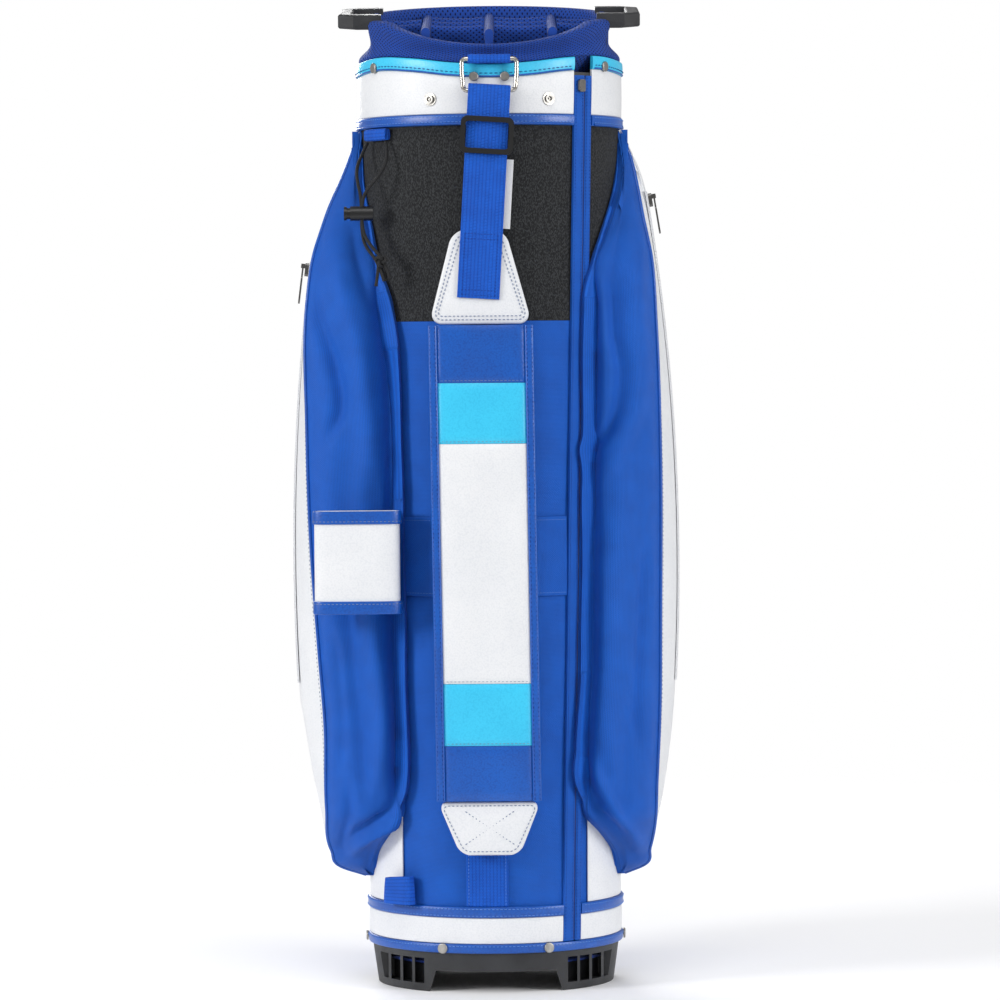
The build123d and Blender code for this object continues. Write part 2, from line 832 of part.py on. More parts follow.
def lock_button():
    """Sprung button of the cord lock, with a slot that stays clear of the strands as it moves."""
    outside = -lock_length / 2
    stem = lock_piece(outside - button_travel - 1, spring_start - gap, button_radius)
    head = lock_piece(outside - button_travel - 2.6, outside - button_travel - 0.2, lock_radius - 0.4)
    return stem + head - lock_way(button_travel + 0.2)


def lock_spring():
    """Coil spring between the button and the lock's closed end."""
    room = lock_length / 2 - 1.6 - spring_start
    coil = Helix(pitch=room / 4, height=room - 1.2, radius=2.8)
    wire = sweep(Plane(origin=coil @ 0, z_dir=coil % 0) * Circle(0.35), path=coil, is_frenet=True)
    return Pos(lock_middle + spring_start + 0.6, lock_depth, lock_height) * Rot(Y=90) * wire


def cord_knot():
    """Overhand knot near the cord's ends, as one plain bead round the two strands."""
    left, right = Vector(*cord_route_left[-2]), Vector(*cord_route_right[-2])
    bead = scale(Sphere(knot_radius), (1.25, 1.0, 1.0))
    knot = Pos((left + right) / 2) * bead
    for route in (cord_route_left, cord_route_right):
        knot -= cord_tube(route, cord_diameter / 2 + gap)[0]
    return knot.solids().sort_by(SortBy.VOLUME)[-1]


# ---------------------------------------------------------------- zips
def zip_slider(turn=0):
    """Zip slider in its own frame: Z out of the tape. Two ears hold a pin, for a pull that hangs along -Y.

    The slider's plate lies along Y, or along X where it is turned by 90 degrees.
    """
    plate = Pos(0, 0, slider_lift + 1.5) * Box(slider_breadth, slider_length, 3.0)
    body = Rot(Z=turn) * fillet(plate.edges().filter_by(Axis.Z), 2.5)
    for side in (-1, 1):
        body += box(
            min(side * 2.2, side * 3.4), max(side * 2.2, side * 3.4), 1.0, 5.0, 3.0, pin_height + 1.6
        )
    return body + Pos(0, 3.0, pin_height) * Rot(Y=90) * Cylinder(pin_radius, 5.0)


def zip_pull():
    """Pull tab in the slider's frame, hanging from the pin."""
    eye = Pos(0, 3.0, pin_height) * Rot(Y=90) * Cylinder(1.8, 3.8)
    neck = box(-1.8, 1.8, -7.0, 3.0, pin_height - pull_thick / 2, pin_height + pull_thick / 2)
    tab = Pos(0, 3.0 - pull_length + 12.5, pin_height) * Box(pull_width, 25, pull_thick)
    tab = fillet(tab.edges().filter_by(Axis.Z), 2.6)
    hole = Pos(0, 3.0 - pull_length + 5, pin_height) * Cylinder(1.5, 5)
    return eye + neck + tab - hole - Pos(0, 3.0, pin_height) * Rot(Y=90) * Cylinder(pin_radius + 0.08, 8)


spine_direction = Vector(spine_zip_x_high - spine_zip_x_low, 0, spine_zip_high - spine_zip_low)


def spine_zip_point(z, lift):
    """Point over the middle of the long zip at a height."""
    share = (z - spine_zip_low) / (spine_zip_high - spine_zip_low)
    x = spine_zip_x_low + share * (spine_zip_x_high - spine_zip_x_low)
    return Vector(x, surface_y(x, z, gap + spine_zip_thick + lift), z)


def spine_zip():
    """Long zip down the strap side of the tube, its two tapes and teeth as one sewn strip."""
    ring = shell(spine_zip_low - 1, spine_zip_high + 1, gap, gap + spine_zip_thick)
    return ring & zip_prism()


spine_top = spine_zip_point(spine_zip_high - 9, 0.8)
spine_end = spine_zip_point(spine_zip_low + 14, 0.8)


def spine_slider():
    """Slider of the long zip, at its closed upper end."""
    way = (spine_top - spine_end).normalized()
    side = on_tube(math.degrees(math.asin(spine_top.X / half_width(spine_top.Z))), spine_top.Z)
    across = way.cross(side.z_dir).normalized()
    plane = Plane(origin=spine_top, x_dir=across, z_dir=across.cross(way))
    plate = Pos(0, 0, 1.0) * Box(7.5, 11, 2.0)
    return plane * fillet(plate.edges().filter_by(Axis.Z), 2.2)


def side_arc(side, grow=0.0):
    """A side panel's upright arc, drawn on the right-hand side: its centre's X, and its radius."""
    reach, radius = (right_reach, right_arc_radius) if side > 0 else (left_reach, left_arc_radius)
    return reach - radius, radius + grow


def zip_high(side):
    """Height of a side zip's closed end."""
    return right_zip_high if side > 0 else left_zip_high


def side_plane(z, side):
    """Frame of a zip slider on a side panel at a height: Z outwards, Y up along the arc."""
    centre, radius = side_arc(side, gap + tape)
    rise = z - side_arc_middle
    out = math.sqrt(radius**2 - rise**2)
    normal = Vector(side * out, 0, rise).normalized()
    point = Vector(side * (centre + out), side_zip_y, z)
    return Plane(origin=point, x_dir=Vector(0, side, 0), z_dir=normal)


def side_zip(side):
    """Curved zip tape on a side panel."""
    centre, radius = side_arc(side)
    middle = Pos(centre, side_arc_middle)
    ring = middle * Circle(radius + gap + tape) - middle * Circle(radius + gap)
    high = zip_high(side)
    window = Pos(centre + radius, (high + side_zip_low) / 2) * Rectangle(200, high - side_zip_low)
    strip = extrude(Plane.XZ.offset(-side_zip_y - tape_width / 2) * (ring & window), amount=tape_width)
    return strip if side > 0 else mirror(strip, about=Plane.YZ)


def front_plane(z, reach, half):
    """Frame of a zip slider on a front pocket, at the closed end of its tape: Z outwards, Y up."""
    return Plane(origin=(half - slider_length, reach + gap + tape, z), x_dir=(-1, 0, 0), z_dir=(0, 1, 0))


def front_tape(z, reach, half):
    """Straight zip tape across a front pocket."""
    return box(-half, half, reach + gap, reach + gap + tape, z - tape_width / 2, z + tape_width / 2)


# ---------------------------------------------------------------- pockets
def hollow(prisms, inner_prisms):
    """What three prisms share, made a bag with a wall and an open back on the tube."""
    outer, inner = prisms[0] & prisms[1] & prisms[2], inner_prisms[0] & inner_prisms[1] & inner_prisms[2]
    tube = core(0, rim_height, gap) + core(0, wrap_high + gap, wrap + 2 * gap)
    return (outer - inner - tube).solids().sort_by(SortBy.VOLUME)[-1]


def side_plan(seam, reach, inset):
    """A side pocket seen from above."""
    front, back, reach = side_front - inset, side_back - inset, reach - inset
    near = Spline(
        (seam + inset, -front + 8),
        (seam + 9 + inset, -front),
        (reach - 62, -front + 1),
        (reach - 30, -front + 15),
        (reach - 11, -front + 34),
        (reach, side_flat_front),
        tangents=((0, -1), (0, 1)),
    )
    far = Spline(
        (reach, side_flat_back),
        (reach - 9, 60),
        (reach - 28, back - 16),
        (112, back),
        tangents=((0, 1), (-1, 0)),
    )
    rest = Polyline(
        (112, back), (side_inner + inset, back), (side_inner + inset, 40), (60, 0), (seam + inset, -60),
        (seam + inset, -front + 8)
    )
    return make_face([near, Line((reach, side_flat_front), (reach, side_flat_back)), far, rest])


def side_profile(side, inset):
    """A side pocket seen from the strap side: an arc, closed by slopes above and below."""
    centre, radius = side_arc(side, -inset)
    arc_high = right_arc_high if side > 0 else left_arc_high

    def out(z):
        return centre + math.sqrt(radius**2 - (z - side_arc_middle) ** 2)

    arc = ThreePointArc(
        (out(side_arc_low), side_arc_low), (out(side_arc_middle), side_arc_middle),
        (out(arc_high), arc_high)
    )
    low, high = side_low + inset, side_top - inset
    swell = out(side_arc_low) - 120
    foot = Spline(
        (out(side_arc_low), side_arc_low),
        (120 + 0.78 * swell, 189),
        (120 + 0.54 * swell, 124),
        (120 + 0.32 * swell, low + 2),
        (120, low),
        tangents=((-0.06, -1), (-1, 0)),
    )
    rest = Polyline((120, low), (20, low), (20, high), (116 - inset, high), (out(arc_high), arc_high))
    return make_face([arc, foot, rest])


def side_elevation(inset):
    """A side pocket seen from the side: its front edge leans back at the top and bottom."""
    front, back = side_front + 5 - inset, side_back + 5 - inset
    return make_face(
        Polyline(
            (-front, 160 + inset), (-front, 636 - inset), (-14, side_top + 3 - inset),
            (60, side_top + 3 - inset), (back, 690 - inset), (back, 150 + inset),
            (62, side_low - 3 + inset), (-38, side_low - 3 + inset), close=True
        )
    )


def side_pocket(side):
    """One tall side pocket, puffed towards the strap and sideways."""
    seam, reach = (right_seam, right_reach) if side > 0 else (left_seam, left_reach)

    def prisms(inset):
        return [
            extrude(side_plan(seam, reach, inset), amount=900),
            along_y(Plane.XZ * side_profile(side, inset)),
            extrude(Plane.YZ * side_elevation(inset), amount=400),
        ]

    bag = hollow(prisms(0), prisms(pocket_wall))
    return bag if side > 0 else mirror(bag, about=Plane.YZ)


def front_pocket(half, reach, low, high, slope_low, slope_high):
    """One front pocket with rounded corners, leaning back at its ends."""

    def prisms(inset):
        plan = Pos(0, reach / 2 - inset) * Rectangle(2 * (half - inset), reach)
        plan = fillet(plan.vertices().group_by(Axis.Y)[-1], corner - inset)
        outline = [
            (0, low + inset), (reach - slope_low, low + inset), (reach - inset, low + slope_low),
            (reach - inset, high - slope_high), (reach - slope_high, high - inset), (0, high - inset)
        ]
        front = Pos(0, (low + high) / 2) * Rectangle(2 * half, high - low - 2 * inset)
        return [
            extrude(plan, amount=900),
            extrude(Plane.YZ * make_face(Polyline(*outline, close=True)), amount=300, both=True),
            along_y(Plane.XZ * front)
        ]

    return hollow(prisms(0), prisms(pocket_wall))


# ---------------------------------------------------------------- assembly
def drilled(shape, holes):
    """A piece with holes cut in it, kept as separate solids if it had several."""
    for hole in holes:
        shape = shape - hole
    return shape


def build():
    """Every node of the bag, by name, round the tube's axis."""
    collar_band, cyan_trim, collar_trim = collar_pieces()
    base_band, base_upper_trim, base_lower_trim = base_bands()
    rods = [rod(n) for n in rod_angles]
    holes_collar = shank_holes(collar_rivet_planes)
    holes_snap = shank_holes(snap_planes)
    holes_tab = shank_holes(tab_rivet_planes)
    holes_base = shank_holes(base_rivet_planes)
    rod_holes = [offset(r, amount=0.1, kind=Kind.INTERSECTION) for r in rods]
    strands = umbrella_cord()
    front_ball = front_plane(ball_zip, ball_reach, ball_zip_half)
    front_valuables = front_plane(valuables_zip, valuables_reach, valuables_zip_half)
    nodes = {
        "base_cup": drilled(base_cup(), holes_base + rod_holes),
        "base_floor_pad": core(base_floor + gap, base_floor + gap + floor_pad, -(fabric + 6.6)),
        "body_lower": drilled(shell(base_height, colour_seam, -fabric, 0), holes_base),
        "body_upper": shell(colour_seam + gap, collar_low + trim_height + 2.6, -fabric, 0),
        "lower_wrap": lower_wrap(),
        "base_band": base_band,
        "base_upper_trim": base_upper_trim,
        "base_lower_trim": drilled(base_lower_trim, holes_base),
        "base_rivets": group([rivet(p) for p in base_rivet_planes]),
        "stay_rods": group(rods),
        "top_frame": drilled(top_frame(), holes_snap + holes_tab + rod_holes),
        "collar_band": drilled(collar_band, holes_snap + holes_tab),
        "collar_cyan_trim": drilled(cyan_trim, holes_collar + holes_tab),
        "collar_blue_trim": collar_trim,
        "collar_rivets": group([rivet(p) for p in collar_rivet_planes]),
        "hood_snaps": group([snap(p) for p in snap_planes]),
        "top_cuff": drilled(top_cuff(), holes_collar),
        "divider_bars": divider_bars(),
        "divider_sheets": divider_sheets(),
        "handle_left": handle(-1),
        "handle_right": handle(1),
        "ring_tab": ring_tab(),
        "tab_rivets": group([rivet(p, 4.2) for p in tab_rivet_planes]),
        "d_ring": d_ring(),
        "strap_webbing": strap_webbing(),
        "strap_return": strap_return(),
        "strap_slider": strap_slider(),
        "slider_wrap": slider_wrap(),
        "strap_backing": strap_backing(),
        "strap_pad": strap_pad(),
        "strap_top_patch": strap_top_patch(),
        "strap_bottom_patch": strap_bottom_patch(),
        "strap_anchor": strap_anchor(),
        "waist_band": waist_band(),
        "umbrella_sleeve": umbrella_sleeve(),
        "sleeve_bindings": sleeve_bindings(),
        "umbrella_loop": umbrella_loop(),
        "cord_tab": cord_tab(),
        "umbrella_cord": group(strands),
        "cord_knot": cord_knot(),
        "cord_lock_barrel": lock_barrel(),
        "cord_lock_button": lock_button(),
        "cord_lock_spring": lock_spring(),
        "spine_zip": spine_zip(),
        "spine_zip_slider": spine_slider(),
        "side_pocket_left": side_pocket(-1),
        "side_pocket_right": side_pocket(1),
        "side_zip_left": side_zip(-1),
        "side_zip_right": side_zip(1),
        "side_slider_left": side_plane(left_zip_high - 8, -1) * zip_slider(),
        "side_slider_right": side_plane(right_zip_high - 8, 1) * zip_slider(),
        "side_pull_left": side_plane(left_zip_high - 8, -1) * zip_pull(),
        "side_pull_right": side_plane(right_zip_high - 8, 1) * zip_pull(),
        "ball_pocket": front_pocket(front_half_width, ball_reach, ball_low, ball_high, 32, 26),
        "valuables_pocket": front_pocket(
            valuables_half_width, valuables_reach, valuables_low, valuables_high, 20, 26
        ),
        "front_zips": group(
            [
                front_tape(ball_zip, ball_reach, ball_zip_half),
                front_tape(valuables_zip, valuables_reach, valuables_zip_half)
            ]
        ),
        "ball_slider": front_ball * zip_slider(90),
        "ball_pull": front_ball * zip_pull(),
        "valuables_slider": front_valuables * zip_slider(90),
        "valuables_pull": front_valuables * zip_pull(),
    }
    return nodes


def main():
    os.makedirs("parts", exist_ok=True)
    for name, shape in build().items():
        placed = Pos(axis_x, axis_y, 0) * shape
        export_step(placed, f"parts/{name}.step")


main()
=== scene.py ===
"""Cart-style golf bag with a padded shoulder strap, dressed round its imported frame.

Inside the functions lengths are millimetres from the club tube's axis, X to the right, Y away from the strap
and Z up from the floor. in_frame() turns them into the frame's metres.
"""

import bpy
import numpy as np
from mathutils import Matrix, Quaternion, Vector


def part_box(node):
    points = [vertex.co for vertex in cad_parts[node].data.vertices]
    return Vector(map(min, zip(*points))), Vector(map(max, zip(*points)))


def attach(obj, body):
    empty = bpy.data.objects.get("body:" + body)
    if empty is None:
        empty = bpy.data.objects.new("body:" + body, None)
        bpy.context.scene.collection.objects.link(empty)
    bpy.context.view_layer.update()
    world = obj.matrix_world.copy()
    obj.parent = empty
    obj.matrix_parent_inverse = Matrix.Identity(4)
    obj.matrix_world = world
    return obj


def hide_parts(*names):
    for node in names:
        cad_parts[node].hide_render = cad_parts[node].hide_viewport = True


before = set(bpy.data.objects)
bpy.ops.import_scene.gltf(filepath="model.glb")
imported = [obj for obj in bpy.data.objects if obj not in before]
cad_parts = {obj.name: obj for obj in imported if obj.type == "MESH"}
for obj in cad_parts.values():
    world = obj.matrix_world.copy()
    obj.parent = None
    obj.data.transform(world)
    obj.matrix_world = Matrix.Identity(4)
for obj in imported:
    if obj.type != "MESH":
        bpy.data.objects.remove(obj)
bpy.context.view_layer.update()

tube_box = np.array(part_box("body_lower"), float)
axis_place = np.array([*tube_box.mean(axis=0)[:2], 0.0])

# ---------------------------------------------------------------- sizes
TUBE_LOW, TUBE_HIGH = 36.0, 764.0  # heights that the tube's two ovals are given at
COLOUR_SEAM = 593.0
COLLAR_LOW, TRIM = 764.0, 9.6
WAVE_LOW, CYAN = 805.2, 11.8
RIM, RIM_SLOPE = 867.5, 0.143
ZIP_LOW, ZIP_HIGH, ZIP_X_LOW, ZIP_X_HIGH, ZIP_WIDTH = 45.0, 808.0, 66.0, 81.0, 15.0
PAD_MIDDLE, PAD_LOW, PAD_HIGH = -7.0, 172.0, 589.4
RING_Y, RING_LOW, RING_TOP = -121.5, 793.6, 821.0
WEBBING_WIDTH, WEBBING = 37.0, 1.6
STRAP_LEAN = np.radians(3.5)
PAD_LEAN = -0.0108  # the pad hangs this much to the left for each millimetre up
REACH = {-1: (178.0, 2100.0, 645.0), 1: (166.0, 2000.0, 705.0)}  # side panel: reach, arc radius, arc top
SIDE_MIDDLE, SIDE_ZIP_Y, SIDE_ZIP_LOW = 380.0, -12.0, 270.0


# ---------------------------------------------------------------- numbers
def in_frame(points):
    """Millimetres from the tube's axis to the frame's metres: scaled by a thousandth and moved to the axis."""
    return np.asarray(points, float) * 0.001 + axis_place


def through(t, knots, values):
    """Smooth curve through values at knots: a cubic on each span whose end slopes are those of its neighbours."""
    t = np.asarray(t, float)
    knots, values = np.asarray(knots, float), np.asarray(values, float)
    slopes = np.gradient(values, knots, axis=0)
    t = np.clip(t, knots[0], knots[-1])
    n = np.clip(np.searchsorted(knots, t, side="right") - 1, 0, len(knots) - 2)
    span = knots[n + 1] - knots[n]
    s = (t - knots[n]) / span
    a, b = (1 + 2 * s) * (1 - s) ** 2, s * (1 - s) ** 2 * span
    c, d = s * s * (3 - 2 * s), s * s * (s - 1) * span
    if values.ndim == 2:
        a, b, c, d = (k[..., None] for k in (a, b, c, d))
    return a * values[n] + b * slopes[n] + c * values[n + 1] + d * slopes[n + 1]


def step(t, low, high):
    """Smooth rise from 0 at low to 1 at high."""
    s = np.clip((np.asarray(t, float) - low) / (high - low), 0, 1)
    return s * s * (3 - 2 * s)


def spread(*parts):
    """Points from their coordinates, each spread to the same rows and columns."""
    return np.stack(np.broadcast_arrays(*parts), -1)


def unit(vectors):
    """Vectors made one long."""
    return vectors / np.maximum(np.linalg.norm(vectors, axis=-1, keepdims=True), 1e-9)


def half_width(z):
    """Half width of the tube, which grows evenly from its foot to its collar."""
    return 111.5 + 4.5 * (z - TUBE_LOW) / (TUBE_HIGH - TUBE_LOW)


def half_depth(z):
    """Half depth of the tube, which grows in the same way."""
    return 107.5 + 4.5 * (z - TUBE_LOW) / (TUBE_HIGH - TUBE_LOW)


def around(turn, z, off=0.0):
    """Point on the tube at a turn from the strap side, pushed out: an oval's sine and cosine at a height."""
    turn, z, off = np.broadcast_arrays(turn, z, off)
    return spread((half_width(z) + off) * np.sin(turn), -(half_depth(z) + off) * np.cos(turn), z)


def turn_of(x, z):
    """Turn at which the tube's strap side has some X."""
    return np.arcsin(np.clip(x / half_width(z), -1, 1))


def face_y(x, z, off=0.0):
    """Y of the tube's strap side at an X and a height."""
    return -(half_depth(z) + off) * np.sqrt(np.clip(1 - (x / (half_width(z) + off)) ** 2, 0, 1))


def wave(x):
    """Rise of the collar's wavy line over its height at the strap."""
    return through(np.abs(x), (0, 10, 35, 68, 97, 125, 150), (0, 0.2, 2.0, 6.6, 8.9, 4.6, 2.0))


def zip_x(z):
    """X of the long zip's middle line, which leans outwards going up."""
    return ZIP_X_LOW + (ZIP_X_HIGH - ZIP_X_LOW) * (z - ZIP_LOW) / (ZIP_HIGH - ZIP_LOW)


def past_zip(share, z):
    """Turn that goes from the long zip's right edge at share 0, round the back, to its left edge at share 1."""
    half = ZIP_WIDTH / 2 + 0.3
    start, end = turn_of(zip_x(z) + half, z), turn_of(zip_x(z) - half, z) + 2 * np.pi
    return start + share * (end - start)


# ---------------------------------------------------------------- meshes
def place(name, mesh, material, body, stands_for=(), smooth=40):
    """Puts a mesh in the scene at the origin, with its finish and the body that it rides on."""
    obj = bpy.data.objects.new(name, mesh)
    bpy.context.scene.collection.objects.link(obj)
    mesh.materials.append(material)
    mesh.shade_smooth()
    mesh.set_sharp_from_angle(angle=np.radians(smooth))
    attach(obj, body)
    if stands_for:
        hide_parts(*stands_for)
    return obj


def quads(rows, cols, loop, closed):
    """Corners of the four-sided faces between neighbours on a grid, which may join up either way."""
    i = np.arange(rows if loop else rows - 1)[:, None]
    j = np.arange(cols if closed else cols - 1)[None, :]
    i, j = np.broadcast_arrays(i, j)
    corner_i = spread(i, i, i + 1, i + 1).reshape(-1, 4)
    corner_j = spread(j, j + 1, j + 1, j).reshape(-1, 4)
    return corner_i, corner_j


def mesh_of(name, points, faces, across, along):
    """Mesh from points in millimetres, four-sided faces and a flat place in metres for each face's corners.
    A closed shell whose signed volume is below nothing has every face turned round."""
    points = in_frame(points)
    a, b, c, d = (points[faces[:, k]] - points.mean(axis=0) for k in range(4))
    volume = np.einsum("ij,ij->i", a, np.cross(b, c)).sum() + np.einsum("ij,ij->i", a, np.cross(c, d)).sum()
    if volume < 0:
        faces, across, along = faces[:, ::-1], across[:, ::-1], along[:, ::-1]
    mesh = bpy.data.meshes.new(name)
    mesh.from_pydata(points, [], faces.tolist())
    layer = mesh.uv_layers.new(name="Flat")
    layer.data.foreach_set("uv", spread(across, along).astype(np.float32).ravel())
    mesh.validate()
    mesh.update()
    return mesh


def carried(rings, loop=False, closed=True):
    """Faces of a section carried along a path. rings holds a row of points for each station; the flat place of a
    point is its distance round the section and its distance along the path, both averaged."""
    rows, cols = rings.shape[:2]
    again = np.concatenate([rings, rings[:, :1]], axis=1)
    across = np.linalg.norm(np.diff(again, axis=1), axis=-1).mean(axis=0)
    across = np.concatenate([[0], np.cumsum(across)]) * 0.001
    again = np.concatenate([rings, rings[:1]], axis=0)
    along = np.linalg.norm(np.diff(again, axis=0), axis=-1).mean(axis=1)
    along = np.concatenate([[0], np.cumsum(along)]) * 0.001
    i, j = quads(rows, cols, loop, closed)
    faces, flat_u, flat_v = [(i % rows) * cols + j % cols], [across[j]], [along[i]]
    if closed and not loop:
        k = np.arange(cols // 2 - 1)
        cap = spread(k, k + 1, cols - 2 - k, cols - 1 - k)
        for row, order in ((0, cap[:, ::-1]), (rows - 1, cap)):
            faces.append(row * cols + order)
            flat_u.append(across[order])
            flat_v.append(np.full(order.shape, along[row]))
    return rings.reshape(-1, 3), np.concatenate(faces), np.concatenate(flat_u), np.concatenate(flat_v)


def shell(name, rings, material, body="bag", loop=False, stands_for=(), smooth=40):
    """One piece from the rings of a closed section."""
    return place(name, mesh_of(name, *carried(rings, loop)), material, body, stands_for, smooth)


def several(name, parts, material, body="bag", loop=False, stands_for=(), smooth=40):
    """One piece from several sets of rings."""
    points, faces, across, along, start = [], [], [], [], 0
    for rings in parts:
        p, f, u, v = carried(rings, loop)
        points.append(p)
        faces.append(f + start)
        across.append(u)
        along.append(v)
        start += len(p)
    arrays = (np.concatenate(k) for k in (points, faces, across, along))
    return place(name, mesh_of(name, *arrays), material, body, stands_for, smooth)


def two_sided(outer, inner):
    """Rings of a layer: each station's outer points, then its inner points coming back."""
    return np.concatenate([outer, inner[:, ::-1]], axis=1)


def outward(grid, away):
    """Normals of a grid of points, turned to the side that away points to."""
    normal = unit(np.cross(np.gradient(grid, axis=0), np.gradient(grid, axis=1)))
    return normal * np.where((normal * away).sum(axis=-1, keepdims=True) < 0, -1, 1)


def round_along(path, radius, lift, points=10):
    """Rings of a round section square to a path: each ring's point at angle a lies the radius out, the cosine of
    a towards lift and the sine of a to the side of it."""
    path = np.asarray(path, float)
    way = unit(np.gradient(path, axis=0))
    side = unit(np.cross(way, np.broadcast_to(lift, path.shape)))
    up = np.cross(side, way)
    turn = np.linspace(0, 2 * np.pi, points, endpoint=False)
    reach = np.broadcast_to(radius, len(path))[:, None, None]
    ring = np.cos(turn)[None, :, None] * up[:, None] + np.sin(turn)[None, :, None] * side[:, None]
    return path[:, None] + reach * ring


def spaced(path, pitch):
    """A path's points set at equal steps, and how far along each one is."""
    path = np.asarray(path, float)
    run = np.concatenate([[0], np.cumsum(np.linalg.norm(np.diff(path, axis=0), axis=1))])
    count = max(2, int(round(run[-1] / pitch)))
    at = (np.arange(count) + 0.5) * run[-1] / count
    return at, run


def stitches(name, rows, material, body="bag", length=2.4, thick=0.62, pitch=3.6):
    """Rows of sewn stitches. Each row is a path and the way that its cloth faces; a stitch is a bead with three
    four-cornered sections, highest in its middle."""
    along = np.array([-0.5, 0, 0.5]) * length
    size, lift = np.array([0.45, 1, 0.45]), np.array([-0.35, 0.18, -0.35]) * thick
    corner = np.radians([45, 135, 225, 315])
    bead = spread(np.repeat(along, 4),
            np.outer(size, np.cos(corner)).ravel() * thick * 0.75,
            np.outer(size, np.sin(corner)).ravel() * thick * 0.6 + np.repeat(lift, 4))
    i, j = quads(3, 4, False, True)
    bead_faces = np.concatenate([i * 4 + j % 4, [[3, 2, 1, 0], [8, 9, 10, 11]]])
    points = []
    for path, facing in rows:
        at, run = spaced(path, pitch)
        middle = spread(*[np.interp(at, run, path[:, k]) for k in range(3)])
        facing = np.broadcast_to(facing, path.shape)
        up = unit(spread(*[np.interp(at, run, facing[:, k]) for k in range(3)]))
        ahead = spread(*[np.interp(at + 0.5, run, path[:, k]) for k in range(3)])
        behind = spread(*[np.interp(at - 0.5, run, path[:, k]) for k in range(3)])
        way = unit(ahead - behind)
        side = unit(np.cross(up, way))
        local = np.einsum("kc,ncd->nkd", bead, np.stack([way, side, np.cross(way, side)], 1))
        points.append(middle[:, None] + local)
    points = np.concatenate(points)
    faces = (np.arange(len(points))[:, None, None] * 12 + bead_faces).reshape(-1, 4)
    flat = np.broadcast_to(bead[:, 0][bead_faces] * 0.001, (len(points), *bead_faces.shape)).reshape(-1, 4)
    return place(name, mesh_of(name, points.reshape(-1, 3), faces, flat, flat * 0), material, body)


# ---------------------------------------------------------------- shader words
def linear(red, green, blue):
    """A colour given as screen values from 0 to 255, made linear."""
    c = np.array([red, green, blue], float) / 255
    return (*np.where(c <= 0.04045, c / 12.92, ((c + 0.055) / 1.055) ** 2.4).tolist(), 1.0)


class Graph:
    """Short words for adding nodes to one tree."""

    def __init__(self, tree):
        self.tree = tree

    def put(self, socket, value):
        """Links an output into a socket, or sets a plain value on it."""
        if isinstance(value, bpy.types.NodeSocket):
            self.tree.links.new(value, socket)
        elif value is not None:
            socket.default_value = value

    def node(self, kind, values=(), **settings):
        """Adds a node, with its settings and the values of its first inputs."""
        made = self.tree.nodes.new(kind)
        for key, value in settings.items():
            setattr(made, key, value)
        for socket, value in zip(made.inputs, values):
            self.put(socket, value)
        return made

    def math(self, operation, *values):
        """One step of arithmetic."""
        return self.node("ShaderNodeMath", values, operation=operation).outputs[0]

    def use(self, group, **values):
        """Places a group; its inputs are named, and its outputs are returned by name."""
        made = self.node("ShaderNodeGroup", node_tree=group)
        for key, value in values.items():
            self.put(made.inputs[key], value)
        return made.outputs

    def mix(self, share, first, second):
        """A colour between two colours."""
        made = self.node("ShaderNodeMix", data_type="RGBA")
        self.put(made.inputs["Factor"], share)
        self.put(made.inputs["A"], first)
        self.put(made.inputs["B"], second)
        return made.outputs["Result"]

    def ramp(self, value, low, high, out_low=0.0, out_high=1.0):
        """A value carried from one range to another and kept inside it."""
        made = self.node("ShaderNodeMapRange", (value, low, high, out_low, out_high))
        return made.outputs[0]


def new_group(name, inputs, outputs):
    """An empty node group with named sockets: its graph, its input sockets and its output node."""
    tree = bpy.data.node_groups.new(name, "ShaderNodeTree")
    for key, value in inputs.items():
        kind = "NodeSocketVector" if value is None else "NodeSocketFloat"
        socket = tree.interface.new_socket(key, in_out="INPUT", socket_type=kind)
        if value is not None:
            socket.default_value = value
    for key in outputs:
        tree.interface.new_socket(key, in_out="OUTPUT", socket_type="NodeSocketFloat")
    return Graph(tree), tree.nodes.new("NodeGroupInput").outputs, tree.nodes.new("NodeGroupOutput").inputs


def weave_group():
    """Plain weave on a flat place: over and under by turns, each thread round, with Gap between the threads."""
    g, i, o = new_group("Woven threads", {"Place": None, "Across": 0.001, "Along": 0.001}, ("Height", "Gap"))
    place_ = g.node("ShaderNodeSeparateXYZ", (i["Place"],)).outputs
    u = g.math("SINE", g.math("MULTIPLY", g.math("DIVIDE", place_[0], i["Across"]), np.pi))
    v = g.math("SINE", g.math("MULTIPLY", g.math("DIVIDE", place_[1], i["Along"]), np.pi))
    over = g.math("GREATER_THAN", g.math("MULTIPLY", u, v), 0.0)
    u, v = g.math("ABSOLUTE", u), g.math("ABSOLUTE", v)
    g.put(o["Height"], g.math("MULTIPLY_ADD", over, g.math("SUBTRACT", v, u), u))
    g.put(o["Gap"], g.math("SUBTRACT", 1.0, g.math("MAXIMUM", u, v)))
    return g.tree


def blotch_group():
    """Slow change over a surface: noise of some size, carried between Low and High."""
    g, i, o = new_group("Slow change", {"Place": None, "Size": 0.05, "Low": 0.0, "High": 1.0}, ("Value",))
    noise = g.node("ShaderNodeTexNoise", (i["Place"],), noise_dimensions="3D")
    g.put(noise.inputs["Scale"], g.math("DIVIDE", 1.0, i["Size"]))
    noise.inputs["Detail"].default_value = 3.0
    g.put(o["Value"], g.ramp(noise.outputs["Fac"], 0.32, 0.68, i["Low"], i["High"]))
    return g.tree


